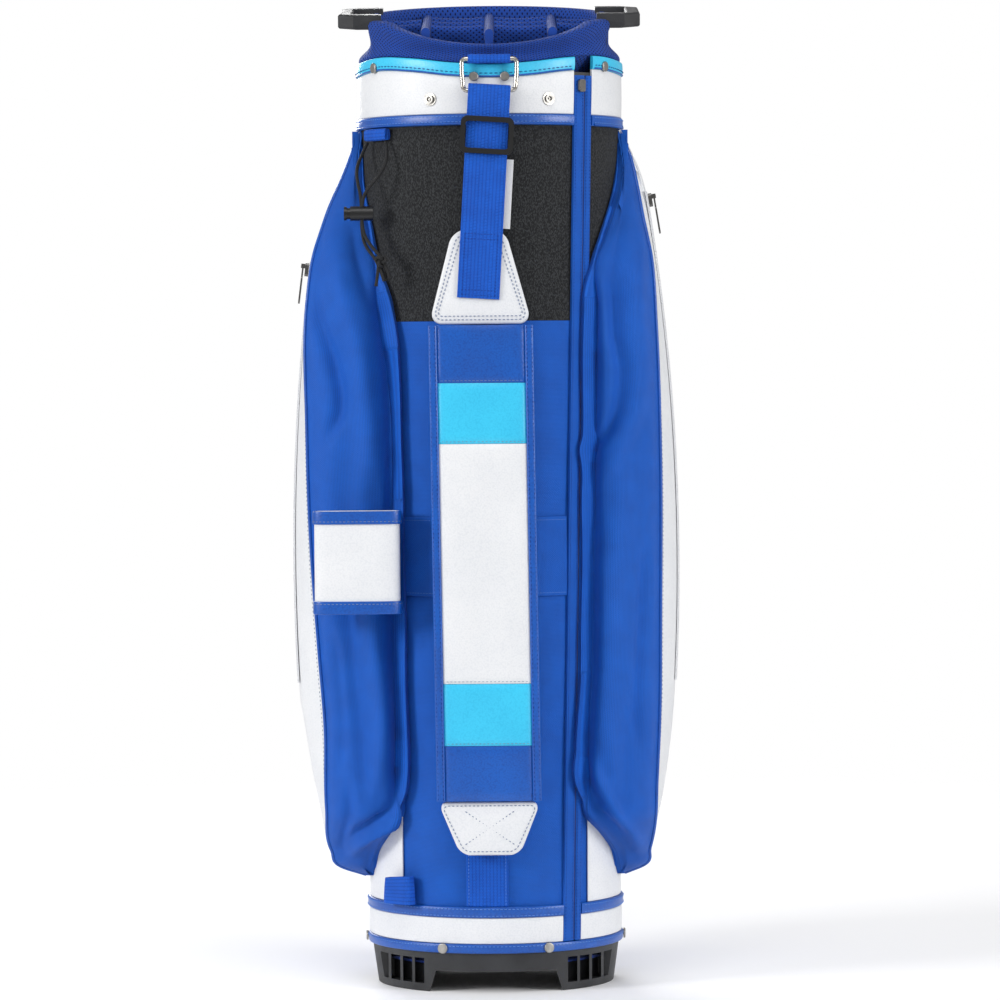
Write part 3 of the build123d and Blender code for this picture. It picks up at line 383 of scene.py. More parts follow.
def marl_group():
    """Flecks of a second yarn: fine noise stretched across, kept where it passes Share."""
    g, i, o = new_group("Marl flecks", {"Place": None, "Size": 0.002, "Share": 0.5}, ("Fleck",))
    turned = g.node("ShaderNodeMapping", (i["Place"], (0, 0, 0), (0, 0, 0), (1.0, 1.0, 0.55)))
    noise = g.node("ShaderNodeTexNoise", (turned.outputs[0],), noise_dimensions="3D")
    g.put(noise.inputs["Scale"], g.math("DIVIDE", 1.0, i["Size"]))
    noise.inputs["Detail"].default_value = 2.0
    edge = g.math("SUBTRACT", 1.0, i["Share"])
    low, high = g.math("SUBTRACT", edge, 0.08), g.math("ADD", edge, 0.08)
    g.put(o["Fleck"], g.ramp(noise.outputs["Fac"], low, high))
    return g.tree


def grain_group():
    """Pebbled grain of coated cloth and moulded plastic: rounded cells of some size under fine noise."""
    g, i, o = new_group("Pebble grain", {"Place": None, "Size": 0.0015, "Fine": 0.3}, ("Height",))
    scale = g.math("DIVIDE", 1.0, i["Size"])
    cells = g.node("ShaderNodeTexVoronoi", (i["Place"],), feature="SMOOTH_F1")
    g.put(cells.inputs["Scale"], scale)
    noise = g.node("ShaderNodeTexNoise", (i["Place"],))
    g.put(noise.inputs["Scale"], g.math("MULTIPLY", scale, 2.5))
    fine = g.math("MULTIPLY", noise.outputs["Fac"], i["Fine"])
    g.put(o["Height"], g.math("SUBTRACT", fine, cells.outputs["Distance"]))
    return g.tree


def holes_group():
    """Open mesh: round holes at a pitch, each row set half a pitch along from the one before."""
    g, i, o = new_group("Mesh holes", {"Place": None, "Pitch": 0.004, "Width": 0.4}, ("Hole",))
    place_ = g.node("ShaderNodeSeparateXYZ", (i["Place"],)).outputs
    row = g.math("DIVIDE", place_[1], g.math("MULTIPLY", i["Pitch"], 0.62))
    odd = g.math("MULTIPLY", g.math("MODULO", g.math("FLOOR", row), 2.0), 0.5)
    u = g.math("SUBTRACT", g.math("FRACT", g.math("ADD", g.math("DIVIDE", place_[0], i["Pitch"]), odd)), 0.5)
    v = g.math("MULTIPLY", g.math("SUBTRACT", g.math("FRACT", row), 0.5), 0.62)
    far = g.math("SQRT", g.math("ADD", g.math("MULTIPLY", u, u), g.math("MULTIPLY", v, v)))
    half = g.math("MULTIPLY", i["Width"], 0.5)
    g.put(o["Hole"], g.ramp(far, half, g.math("MULTIPLY", half, 0.55)))
    return g.tree


WEAVE, BLOTCH, MARL, GRAIN, HOLES = weave_group(), blotch_group(), marl_group(), grain_group(), holes_group()


def finish_of(name, **values):
    """A new material: its graph, its shader, its flat place and its place in the object."""
    material = bpy.data.materials.new(name)
    material.use_nodes = True
    g = Graph(material.node_tree)
    shader = material.node_tree.nodes["Principled BSDF"]
    for key, value in values.items():
        shader.inputs[key.replace("_", " ")].default_value = value
    where = g.node("ShaderNodeTexCoord").outputs
    flat = g.node("ShaderNodeUVMap", uv_map="Flat").outputs[0]
    return material, g, shader, flat, where["Object"]


def bumped(g, shader, height, depth, strength=1.0):
    """Raises the surface by a height between 0 and 1, at some depth in metres."""
    bump = g.node("ShaderNodeBump")
    bump.inputs["Strength"].default_value = strength
    bump.inputs["Distance"].default_value = depth
    g.put(bump.inputs["Height"], height)
    g.put(shader.inputs["Normal"], bump.outputs["Normal"])


def cloth(name, colour, dark, across=0.0011, along=0.0009, depth=0.00025, rough=0.78, sheen=0.25):
    """Woven cloth: its threads show darker in the gaps, and the dye changes slowly over the piece."""
    material, g, shader, flat, where = finish_of(
        name, Sheen_Weight=sheen, Sheen_Roughness=0.45, Specular_IOR_Level=0.3,
    )
    weave = g.use(WEAVE, Place=flat, Across=across, Along=along)
    tone = g.use(BLOTCH, Place=where, Size=0.02, Low=0.0, High=0.14)["Value"]
    share = g.math("ADD", g.math("MULTIPLY", weave["Gap"], 0.9), tone)
    g.put(shader.inputs["Base Color"], g.mix(share, colour, dark))
    g.put(shader.inputs["Roughness"], g.ramp(weave["Height"], 0.0, 1.0, rough + 0.1, rough - 0.06))
    bumped(g, shader, weave["Height"], depth)
    return material


def marl(name, colour, fleck, rough=0.86):
    """Marled cloth: flecks of a lighter yarn in a dark weave."""
    material, g, shader, flat, where = finish_of(name, Sheen_Weight=0.04, Sheen_Roughness=0.5, Specular_IOR_Level=0.2)
    weave = g.use(WEAVE, Place=flat, Across=0.0013, Along=0.0011)
    flecks = g.use(MARL, Place=where, Size=0.0011, Share=0.48)["Fleck"]
    share = g.math("MULTIPLY", flecks, g.ramp(weave["Height"], 0.0, 1.0, 0.25, 1.0))
    g.put(shader.inputs["Base Color"], g.mix(share, colour, fleck))
    g.put(shader.inputs["Roughness"], g.ramp(flecks, 0.0, 1.0, rough, rough - 0.12))
    bumped(g, shader, weave["Height"], 0.00025)
    return material


def coated(name, colour, shade, rough=0.42, depth=0.00012, coat=0.0, size=0.0013):
    """Coated cloth: a fine pebble grain with painted shade in the valleys between its pebbles, and a little duller and
    darker where it has been handled.
    """
    material, g, shader, _, where = finish_of(name, Coat_Roughness=0.28)
    grain = g.use(GRAIN, Place=where, Size=size, Fine=0.35)["Height"]
    rub = g.use(BLOTCH, Place=where, Size=0.045, Low=0.0, High=0.5)["Value"]
    # painted shade: the low valleys of the pebble grain are darkened towards the shade colour
    painted_grain_shade = g.ramp(grain, -0.5, -0.15, 0.35, 0.0)
    g.put(shader.inputs["Base Color"], g.mix(g.math("ADD", g.math("MULTIPLY", rub, 0.6), painted_grain_shade), colour, shade))
    g.put(shader.inputs["Roughness"], g.ramp(rub, 0.0, 0.5, rough, rough + 0.1))
    shader.inputs["Coat Weight"].default_value = coat
    bumped(g, shader, grain, depth)
    return material


def webbing(name, colour, dark):
    """Woven webbing: wide columns of ribs, each rib lying over and under, with dark lines between columns."""
    material, g, shader, flat, where = finish_of(
        name, Sheen_Weight=0.03, Sheen_Roughness=0.4, Specular_IOR_Level=0.25,
    )
    weave = g.use(WEAVE, Place=flat, Across=0.0031, Along=0.0013)
    fine = g.use(WEAVE, Place=flat, Across=0.0006, Along=0.0006)
    height = g.math("ADD", weave["Height"], g.math("MULTIPLY", fine["Height"], 0.25))
    tone = g.use(BLOTCH, Place=where, Size=0.02, Low=0.0, High=0.2)["Value"]
    share = g.math("ADD", g.ramp(height, 0.15, 0.85, 0.75, 0.0), tone)
    g.put(shader.inputs["Base Color"], g.mix(share, colour, dark))
    g.put(shader.inputs["Roughness"], g.ramp(height, 0.0, 1.2, 0.75, 0.52))
    bumped(g, shader, height, 0.0004)
    return material


def open_mesh(name, colour, dark, pitch=0.0042):
    """Padded open mesh: knitted cloth with rows of dark holes."""
    material, g, shader, flat, where = finish_of(
        name, Sheen_Weight=0.06, Sheen_Roughness=0.5, Specular_IOR_Level=0.25,
    )
    hole = g.use(HOLES, Place=flat, Pitch=pitch, Width=0.5)["Hole"]
    knit = g.use(WEAVE, Place=flat, Across=pitch / 4, Along=pitch / 6)
    tone = g.use(BLOTCH, Place=where, Size=0.03, Low=0.0, High=0.22)["Value"]
    share = g.math("MAXIMUM", hole, g.math("ADD", g.math("MULTIPLY", knit["Gap"], 0.35), tone))
    g.put(shader.inputs["Base Color"], g.mix(share, colour, dark))
    g.put(shader.inputs["Roughness"], g.ramp(hole, 0.0, 1.0, 0.7, 0.95))
    height = g.math("SUBTRACT", g.math("MULTIPLY", knit["Height"], 0.2), hole)
    bumped(g, shader, height, 0.0007)
    return material


def moulded(name, colour, light, rough=0.5, depth=0.0001, size=0.0009):
    """Moulded plastic: a fine spark-eroded texture, a little paler and glossier where it is rubbed."""
    material, g, shader, _, where = finish_of(name)
    grain = g.use(GRAIN, Place=where, Size=size, Fine=0.8)["Height"]
    rub = g.use(BLOTCH, Place=where, Size=0.03, Low=0.0, High=1.0)["Value"]
    g.put(shader.inputs["Base Color"], g.mix(g.math("MULTIPLY", rub, 0.45), colour, light))
    g.put(shader.inputs["Roughness"], g.ramp(rub, 0.0, 1.0, rough + 0.08, rough - 0.08))
    bumped(g, shader, grain, depth)
    return material


def plated(name, colour, dull, rough=0.2):
    """Plated metal: fine scratches change its gloss, and it is duller in patches."""
    material, g, shader, _, where = finish_of(name, Metallic=1.0)
    patch = g.use(BLOTCH, Place=where, Size=0.004, Low=0.0, High=1.0)["Value"]
    fine = g.use(GRAIN, Place=where, Size=0.0004, Fine=1.0)["Height"]
    g.put(shader.inputs["Base Color"], g.mix(g.math("MULTIPLY", patch, 0.6), colour, dull))
    g.put(shader.inputs["Roughness"], g.ramp(patch, 0.0, 1.0, rough, rough + 0.14))
    bumped(g, shader, fine, 0.00003)
    return material


def braided(name, colour, light):
    """Braided cord or twisted thread: slanting strands that cross round it."""
    material, g, shader, flat, _ = finish_of(
        name, Sheen_Weight=0.03, Sheen_Roughness=0.4, Specular_IOR_Level=0.25,
    )
    turned = g.node("ShaderNodeMapping", (flat, (0, 0, 0), (0, 0, np.radians(45)), (1, 1, 1)))
    weave = g.use(WEAVE, Place=turned.outputs[0], Across=0.0008, Along=0.0008)
    g.put(shader.inputs["Base Color"], g.mix(g.ramp(weave["Height"], 0.2, 1.0, 0.0, 0.7), colour, light))
    g.put(shader.inputs["Roughness"], g.ramp(weave["Gap"], 0.0, 1.0, 0.6, 0.9))
    bumped(g, shader, weave["Height"], 0.0003)
    return material


BLUE, BLUE_DARK = linear(3, 96, 204), linear(2, 40, 116)
blue_cloth = cloth("Royal blue cloth", BLUE, BLUE_DARK, rough=0.6, sheen=0.05)
black_cloth = marl("Black marl cloth", linear(30, 31, 33), linear(60, 62, 64))
lining = cloth("Black lining", linear(30, 31, 34), linear(10, 10, 12), 0.0008, 0.0008, 0.0001)
blue_mesh = open_mesh("Blue padded mesh", linear(16, 70, 168), linear(3, 14, 58))
blue_webbing = webbing("Blue webbing", linear(10, 94, 208), linear(4, 42, 130))
blue_coated = coated("Blue coated trim", linear(6, 86, 180), linear(3, 52, 130), 0.3, coat=0.12)
cyan_coated = coated("Cyan coated panel", linear(56, 196, 234), linear(30, 168, 214), 0.34, coat=0.1)
white_coated = coated("White coated panel", linear(226, 227, 229), linear(206, 209, 214), 0.42)
white_facing = coated("White strap facing", linear(222, 223, 226), linear(200, 202, 208), 0.6)
tape_cloth = webbing("Blue zip tape", linear(16, 58, 150), linear(6, 24, 84))
white_webbing = webbing("White zip tape", linear(240, 241, 243), linear(200, 203, 208))
white_coil = moulded("White zip coil", linear(226, 228, 232), linear(244, 245, 247), 0.35)
coil_plastic = moulded("Blue zip coil", linear(10, 32, 96), linear(30, 66, 150), 0.35)
foam_cloth = cloth("Blue floor pad cloth", linear(20, 60, 150), linear(8, 24, 80))
black_plastic = moulded("Black moulding", linear(34, 35, 37), linear(62, 63, 66), 0.5, 0.00014)
satin_plastic = moulded("Satin black buckle", linear(16, 16, 17), linear(34, 34, 36), 0.34, 0.00006)
nickel = plated("Nickel plate", linear(200, 196, 188), linear(160, 156, 150), 0.18)
dull_nickel = plated("Brushed nickel", linear(176, 173, 168), linear(132, 130, 126), 0.34)
dark_nickel = plated("Dark nickel", linear(120, 118, 116), linear(84, 83, 82), 0.24)
mill_aluminium = plated("Mill aluminium", linear(206, 207, 210), linear(176, 177, 180), 0.36)
cord_braid = braided("Black braided cord", linear(18, 18, 19), linear(62, 63, 65))
white_thread = braided("White thread", linear(206, 209, 214), linear(244, 246, 250))
grey_thread = braided("Grey blue thread", linear(96, 112, 146), linear(150, 162, 186))
blue_thread = braided("Dark blue thread", linear(8, 30, 100), linear(24, 64, 160))
pale_thread = braided("Pale blue thread", linear(70, 120, 200), linear(130, 170, 230))

# CAD pieces whose shape stays, each with its finish
for nodes, finish in (
    (("base_cup", "handle_left", "handle_right", "top_frame"), black_plastic),
    (("strap_slider", "cord_lock_barrel", "cord_lock_button"), satin_plastic),
    (("d_ring", "cord_lock_spring"), nickel),
    (("collar_rivets", "base_rivets", "tab_rivets", "hood_snaps"), dull_nickel),
    (("side_slider_left", "side_slider_right", "side_pull_left", "side_pull_right"), dark_nickel),
    (("ball_slider", "ball_pull", "valuables_slider", "valuables_pull", "spine_zip_slider"), dark_nickel),
    (("stay_rods",), mill_aluminium),
):
    for node in nodes:
        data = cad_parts[node].data
        data.materials.clear()
        data.materials.append(finish)


# ---------------------------------------------------------------- tube, base and collar
def tube_wall(name, low, high, material, stands_for):
    """One length of the club tube, 2.4 mm thick. Its face sinks in slow dents: two slanting sine waves."""
    turn = np.linspace(0, 2 * np.pi, 289)[:-1, None]
    z = np.concatenate([[low, low + 0.5], np.linspace(low + 2, high - 2, int((high - low) / 5)), [high - 0.5, high]])
    sway = np.sin(5 * turn + z / 61) * np.sin(z / 83 + 1.3) + 0.6 * np.sin(11 * turn - z / 37 + 0.5)
    edge = np.minimum(step(z, low, low + 30), 1 - step(z, high - 30, high))
    corner = np.where((z < low + 0.2) | (z > high - 0.2), -0.5, 0.0)
    outer = around(turn, z, -0.55 * (1.6 + sway) * edge + corner)
    inner = around(turn, np.array([low, high]), -2.4)
    return shell(name, two_sided(outer, inner), material, loop=True, stands_for=stands_for)


def tape_section(depth, radius, crown, count=7, inner=0.2):
    """Section of a sewn strip with rounded corners: shares of its width, millimetres added, and height off the
    tube."""
    t = np.linspace(0, np.pi / 2, 5)
    s = np.linspace(0, 1, count)[1:-1]
    share = np.concatenate([[0], t * 0, s, t * 0 + 1, [1]])
    extra = np.concatenate([
        [0], radius * (1 - np.cos(t)), radius * (1 - 2 * s), -radius * (1 - np.cos(t[::-1])), [0],
    ])
    rise = depth - radius + radius * np.sin(t)
    middle = depth + crown * np.sin(np.pi * s)
    return share, extra, np.concatenate([[inner], rise, middle, rise[::-1], [inner]])


def sewn_band(name, low, high, depth, material, stands_for, radius=0.9, crown=0.0, whole=False, waved=(0, 0)):
    """Strip sewn round the tube between two heights, each of which may follow the collar's wave. It stops at the
    long zip's two edges unless it is whole."""
    share, extra, off = tape_section(depth, radius, crown)
    part = np.linspace(0, 1, 321)[:, None]
    if whole:
        part = part[:-1]
    middle = low + share * (high - low)
    turn = part * 2 * np.pi if whole else past_zip(part, middle)
    x = half_width(middle) * np.sin(turn)
    rise = wave(x)
    z = low + rise * waved[0] + share * (high - low + rise * (waved[1] - waved[0])) + extra
    turn = turn if whole else past_zip(part, z)
    return shell(name, around(turn, z, off), material, loop=whole, stands_for=stands_for)


def band_path(height, off, waved=0.0, count=420, start=0.004, end=0.996, whole=False):
    """Line round the tube at a height, with its outward way, from one edge of the long zip to the other."""
    part = np.linspace(0 if whole else start, 1 if whole else end, count)
    turn = part * 2 * np.pi if whole else past_zip(part, np.full(count, height))
    z = height + waved * wave(half_width(height) * np.sin(turn))
    path = around(turn, z, off)
    away = around(turn, z, off + 1) - path
    return path, away


def bead_round(height, off, radius, waved=0.0):
    """Raised bead round the tube, sewn into a band's edge."""
    path, away = band_path(height, off, waved, 360)
    return round_along(path, radius, away, 8)


tube_wall("body_lower_cloth", 36.0, COLOUR_SEAM - 0.1, blue_cloth, ("body_lower",))
tube_wall("body_upper_cloth", COLOUR_SEAM + 0.1, 776.0, black_cloth, ("body_upper",))
seam_turn = np.linspace(0, 2 * np.pi, 240)
fold = around(seam_turn, COLOUR_SEAM + 0.2, -0.45)
shell("colour_seam_fold", round_along(fold[:-1], 0.6, (0, 0, 1), 8), black_cloth, loop=True)

sewn_band("collar_band_panel", COLLAR_LOW + TRIM + 0.2, WAVE_LOW, 2.0, white_coated, ("collar_band",), crown=0.25,
          waved=(0, 1))
sewn_band("collar_cyan_piping", WAVE_LOW + 0.2, WAVE_LOW + CYAN, 3.0, cyan_coated, ("collar_cyan_trim",), 1.3, 0.3,
          waved=(1, 1))
sewn_band("collar_blue_binding", COLLAR_LOW, COLLAR_LOW + TRIM, 3.1, blue_coated, ("collar_blue_trim",), 1.2, 0.3)
several(
    "collar_beads", [bead_round(COLLAR_LOW + 1.3, 3.3, 1.0), bead_round(WAVE_LOW + 1.0, 2.9, 0.75, 1)], blue_coated,
)
sewn_band("base_band_panel", 44.6, 67.4, 2.0, white_coated, ("base_band",), crown=0.25)
sewn_band("base_upper_binding", 67.6, 77.2, 3.1, blue_coated, ("base_upper_trim",), 1.2, 0.3)
sewn_band("base_lower_binding", 36.1, 44.3, 3.1, blue_coated, ("base_lower_trim",), 1.2, 0.3, whole=True)
stitches(
    "trim_stitches",
    [
        band_path(COLLAR_LOW + 2.9, 3.5), band_path(COLLAR_LOW + 7.6, 3.5),
        band_path(69.4, 3.5), band_path(75.4, 3.5),
        band_path(42.4, 3.5, whole=True),
    ],
    pale_thread,
)
stitches("cyan_stitches", [band_path(WAVE_LOW + 3.6, 3.5, 1)], blue_thread, length=3.0, thick=0.75, pitch=4.4)


def foot_wrap():
    """White cover round the tube's foot, open at the strap side: its top edge is low under the side pockets, climbs
    to the two seams and stands level round the back."""
    part = np.linspace(0, 1, 260)[:, None]
    start = turn_of(81.3, 110.0)
    turn = start + part * 2 * (np.pi - start)
    x, back = 111.5 * np.sin(turn), -np.cos(turn)
    top = np.where(
        back < 0, through(np.abs(x), (81, 92, 103, 111), (160, 147, 133, 122)), 122 + 46 * step(back, 0, 0.3),
    )
    share, extra, off = tape_section(1.25, 0.5, 0.0, 12)
    z = 77.6 + share * (top - 77.6) + extra
    return shell("foot_wrap_panel", around(turn, z, off), white_coated, stands_for=("lower_wrap",))


foot_wrap()


# ---------------------------------------------------------------- long zip
def long_zip():
    """Two flat tapes side by side with a groove between them, which lean across the tube, bands and all."""
    z = np.linspace(ZIP_LOW, ZIP_HIGH, 380)[:, None]
    w = np.array([-7.5, -7.5, -7.2, -6.4, -5.0, -2.0, 0.2, 0.9, 1.2, 1.9, 2.2, 3.0, 4.8, 6.4, 7.2, 7.5, 7.5])
    off = np.array([0.2, 2.1, 2.7, 3.0, 3.15, 3.2, 3.0, 2.5, 1.5, 1.5, 2.5, 3.0, 3.1, 3.0, 2.7, 2.1, 0.2])
    x = zip_x(z) + w
    dip = 0.18 * np.sin(z / 17) * np.sin(z / 51 + 1)
    rings = around(turn_of(x, z), z + 0 * x, off + np.where((w > -7) & (w < 7), dip, 0))
    tape = shell("long_zip_tapes", rings, blue_cloth, stands_for=("spine_zip",))
    run = np.linspace(ZIP_LOW + 1, ZIP_HIGH - 1, 1900)
    path = around(turn_of(zip_x(run) + 1.55, run), run, 1.75)
    away = around(turn_of(zip_x(run) + 1.55, run), run, 2.75) - path
    shell("long_zip_coil", round_along(path, 0.72 + 0.22 * np.sin(run * 3.7), away, 6), coil_plastic)
    rows = []
    for w in (-6.1, -0.6, 3.0, 6.2):
        line = around(turn_of(zip_x(run) + w, run), run, 3.15 if abs(w) < 5 else 3.0)
        rows.append((line, around(turn_of(zip_x(run) + w, run), run, 4.15) - line))
    stitches("long_zip_stitches", rows, blue_thread, length=1.9, thick=0.5, pitch=3.0)
    return tape


long_zip()


# ---------------------------------------------------------------- mouth
def rim_z(y, drop=0.0):
    """Height of the mouth's sloping plane."""
    return RIM - drop + RIM_SLOPE * y


def mouth_cuff():
    """Padded rim: a tall rounded section with a neck above the cyan trim and a fuller top, dipping at the strap
    side along an arc and pressed in beside each handle."""
    turn = np.linspace(0, 2 * np.pi, 481)[:-1, None]
    base = around(turn, 860.0)
    x, y = base[..., 0], base[..., 1]
    low = WAVE_LOW + CYAN + 0.2 + wave(x)
    dip = 16.0 * np.clip(1 - (x / 95.0) ** 2, 0, 1) ** 0.8 * (y < 0)
    top = rim_z(y) - dip - 0.4
    share = np.array([
        0, 0.02, 0.08, 0.2, 0.35, 0.5, 0.65, 0.78, 0.88, 0.95,
        0.99, 1, 0.99, 0.95, 0.88, 0.75, 0.5, 0.25, 0.02, 0,
    ])
    off = np.array([
        -1.5, 0.2, 0.7, -0.6, -2.4, -2.2, -0.8, 0.5, 0.6, -0.9,
        -4, -8, -12, -14.6, -15.6, -16, -16, -16, -16, -14,
    ])
    fine = np.linspace(0, len(share) - 1, 58)
    share, off = (through(fine, np.arange(len(k)), k) for k in (share, off))
    inner = fine > 15.5
    floor_z = np.where(inner, 811.4, low)
    z = floor_z + np.clip(share, 0, 1) * (top - floor_z)
    press = np.exp(-((y / 37.0) ** 6)) * (np.abs(x) > 60) * step(z, 828, 842)
    out = np.where(off > -9, off - press * np.clip(off + 10.5, 0, 20) * 0.92, off)
    quilt = 0.7 * np.sin(turn * 9 + 0.6) * np.sin(z / 11)
    out = out + np.where((off < -0.3) & (off > -9), quilt * 0.6, 0)
    cuff = shell("mouth_cuff_padding", around(turn, z, out), blue_mesh, loop=True, stands_for=("top_cuff",))
    return cuff


mouth_cuff()

COLUMN, PITCH, SIDE_BAR, BAR = 56.0, 48.0, 25.0, 9.0


def divider_lines():
    """Each divider's way across the mouth: the axis it runs along, its place on the other, and its two ends."""
    a, b = half_width(811) - 16.2, half_depth(811) - 16.2
    lines = []
    for x in (-COLUMN, 0.0, COLUMN):
        end = b * np.sqrt(1 - ((abs(x) + BAR / 2) / a) ** 2)
        lines.append((1, x, -end, end))
    butt = BAR / 2 + 0.2
    for y in (-PITCH, 0.0, PITCH):
        lines += [(0, y, -COLUMN + butt, -butt), (0, y, butt, COLUMN - butt)]
    for y in (-SIDE_BAR, SIDE_BAR):
        far = a * np.sqrt(1 - ((abs(y) + BAR / 2) / b) ** 2)
        lines += [(0, y, -far, -COLUMN - butt), (0, y, COLUMN + butt, far)]
    return lines


def divider_bar(number, axis, place_, low, high):
    """One padded bar: a rounded roll over a flat skirt, a little slack in the middle of its length."""
    t = np.linspace(low, high, max(12, int((high - low) / 4)))[:, None]
    turn = np.linspace(-np.pi / 2, np.pi / 2, 11)
    w = np.concatenate([[-3.6, -3.9], 4.4 * np.sin(turn), [3.9, 3.6]])
    h = np.concatenate([[-21.8, -12], 4.4 * np.cos(turn) - 4.5, [-12, -21.8]])
    slack = 1.4 * np.sin(np.pi * (t - low) / (high - low)) * (h > -20)
    pinch = 1 - 0.10 * np.exp(-np.minimum(t - low, high - t) / 3.0)
    along, wide = t + 0 * w, place_ + w * pinch
    y = along if axis == 1 else wide
    z = rim_z(y, 5.0) + h - slack
    rings = spread(*([wide, along, z] if axis == 1 else [along, wide, z]))
    bar = shell(f"divider_bar_{number}", rings, blue_mesh, stands_for=("divider_bars",), smooth=60)
    return bar


def divider_sheet(number, axis, place_, low, high):
    """One full-length divider, 1.2 mm thick, with a shallow ripple that grows to its middle."""
    foot_a, foot_b = half_width(36) - 10.6, half_depth(36) - 10.6
    span = (foot_b if axis == 1 else foot_a) * np.sqrt(1 - (place_ / (foot_a if axis == 1 else foot_b)) ** 2)
    low, high = max(low, -span), min(high, span)
    t = np.linspace(low, high, 17)[:, None]
    share = np.linspace(0, 1, 71)
    top = rim_z(t if axis == 1 else place_, 27.4)
    z = 29.6 + share * (top - 29.6)
    ripple = 0.6 * np.sin(z / 70 + number) * np.sin(np.pi * share) * np.sin(np.pi * (t - low) / (high - low))
    faces = [spread(*([place_ + ripple + side, t + 0 * z, z] if axis == 1 else [t + 0 * z, place_ + ripple + side, z]))
             for side in (0.6, -0.6)]
    piece = shell(f"divider_sheet_{number}", two_sided(*faces), lining, stands_for=("divider_sheets",))
    return piece


for number, line in enumerate(divider_lines(), 1):
    divider_bar(number, *line)
    divider_sheet(number, *line)


def floor_pad():
    """Quilted pad on the base's floor: an oval with a rounded edge and shallow crossing channels."""
    r = np.concatenate([np.linspace(0.02, 0.97, 40), [0.985, 0.996, 1.0]])[:, None]
    turn = np.linspace(0, 2 * np.pi, 121)[:-1]
    a, b = half_width(27) - 9.4, half_depth(27) - 9.4
    x, y = a * r * np.sin(turn), b * r * np.cos(turn)
    channel = np.exp(-((np.sin(x / 12) / 0.16) ** 2)) + np.exp(-((np.sin(y / 12) / 0.16) ** 2))
    top = spread(x, y, 28.9 - 0.7 * np.clip(channel, 0, 1) - 2.2 * step(r, 0.95, 1.0) + 0 * x)
    under = spread(x, y, 24.4 + 0 * x)
    rings = np.concatenate([top, under[::-1]], axis=0).transpose(1, 0, 2)
    pad = shell("floor_pad_quilt", rings, foam_cloth, loop=True, stands_for=("base_floor_pad",))
    return pad


floor_pad()


# ---------------------------------------------------------------- ring, webbing and strap
def leaning(points):
    """Turns points drawn upright under the ring by the strap's lean, round the ring's lower bar."""
    x, y, z = np.moveaxis(np.asarray(points, float), -1, 0)
    down = z - RING_LOW
    c, s = np.cos(STRAP_LEAN), np.sin(STRAP_LEAN)
    return spread(x * c + down * s, y, RING_LOW - x * s + down * c)


def ribbon(path, width, thick, middle=0.0, curl=0.0):
    """Rings of flat webbing whose middle line is a path in Y and Z: a thin section with rounded edges, square to
    the path, its edges lifted by curl."""
    path = np.asarray(path, float)
    way = unit(np.gradient(path, axis=0))
    out = spread(-way[:, 1], way[:, 0])
    half, r = width / 2, thick / 2
    t = np.linspace(-np.pi / 2, np.pi / 2, 5)
    flat = np.linspace(-1, 1, 9)[1:-1] * (half - r)
    w = np.concatenate([half - r + r * np.cos(t), flat[::-1], -(half - r) - r * np.cos(t), flat])
    h = np.concatenate([r * np.sin(t), flat * 0 + r, -r * np.sin(t), flat * 0 - r])
    h = h + curl * (w / half) ** 4
    rings = np.zeros((len(path), len(w), 3))
    rings[..., 0] = middle + w
    rings[..., 1] = path[:, :1] + out[:, :1] * h
    rings[..., 2] = path[:, 1:] + out[:, 1:] * h
    return rings


def arc(middle, radius, start, end, count):
    """Points of an arc in Y and Z, from one angle in degrees to another."""
    turn = np.radians(np.linspace(start, end, count))
    return spread(middle[0] + radius * np.cos(turn), middle[1] + radius * np.sin(turn))


def straight(start, end, step_length=4.0):
    """Points of a straight run in Y and Z."""
    count = max(2, int(np.hypot(end[0] - start[0], end[1] - start[1]) / step_length))
    return np.linspace(start, end, count)


def strap_ribbon():
    """The strap's webbing: up the front from the pad, over the ring's lower bar and back down to the buckle."""
    radius = 3.8 + WEBBING / 2
    front, back = RING_Y - radius, RING_Y + radius
    loop = arc((RING_Y, RING_LOW), radius, 180, 0, 22)
    rise, fall = straight((front, 611.8), (front, RING_LOW - 1.5)), straight((back, RING_LOW - 1.5), (back, 680.0))
    path = np.concatenate([rise, loop, fall])
    rings = leaning(ribbon(path, WEBBING_WIDTH, WEBBING * 0.94))
    piece = shell("strap_ribbon", rings, blue_webbing, "strap", stands_for=("strap_webbing", "strap_return"))
    rows = []
    for x in (-14.5, 14.5):
        z = np.linspace(614, 668, 40)
        line = leaning(spread(x + 0 * z, front - 0.8 + 0 * z, z))
        rows.append((line, (0, -1, 0)))
    for z in (614.5, 619.0, 663.5, 668.0):
        x = np.linspace(-15.5, 15.5, 30)
        rows.append((leaning(spread(x, front - 0.8 + 0 * x, z + 0 * x)), (0, -1, 0)))
    stitches("strap_ribbon_stitches", rows, blue_thread, "strap", length=2.0, thick=0.5, pitch=2.8)
    return piece


strap_ribbon()

BUCKLE_FOLD = np.array([[-119.2, 750.0], [-119.2, 753.0], [-119.3, 756.5]])  # y and height, down the fold
shell(
    "buckle_fold", leaning(ribbon(BUCKLE_FOLD, WEBBING_WIDTH - 1, 3.0)),
    blue_webbing, "strap_buckle", stands_for=("slider_wrap",),
)


def facing_strip():
    """White facing behind the webbing, showing along its right side, with a folded edge."""
    y = RING_Y + 3.8 + WEBBING + 1.0
    rings = ribbon(straight((y, 674.0), (y, 734.5)), WEBBING_WIDTH, 1.5, middle=6.0, curl=-0.2)
    return shell("strap_facing", leaning(rings), white_facing, "strap", stands_for=("strap_backing",))


facing_strip()


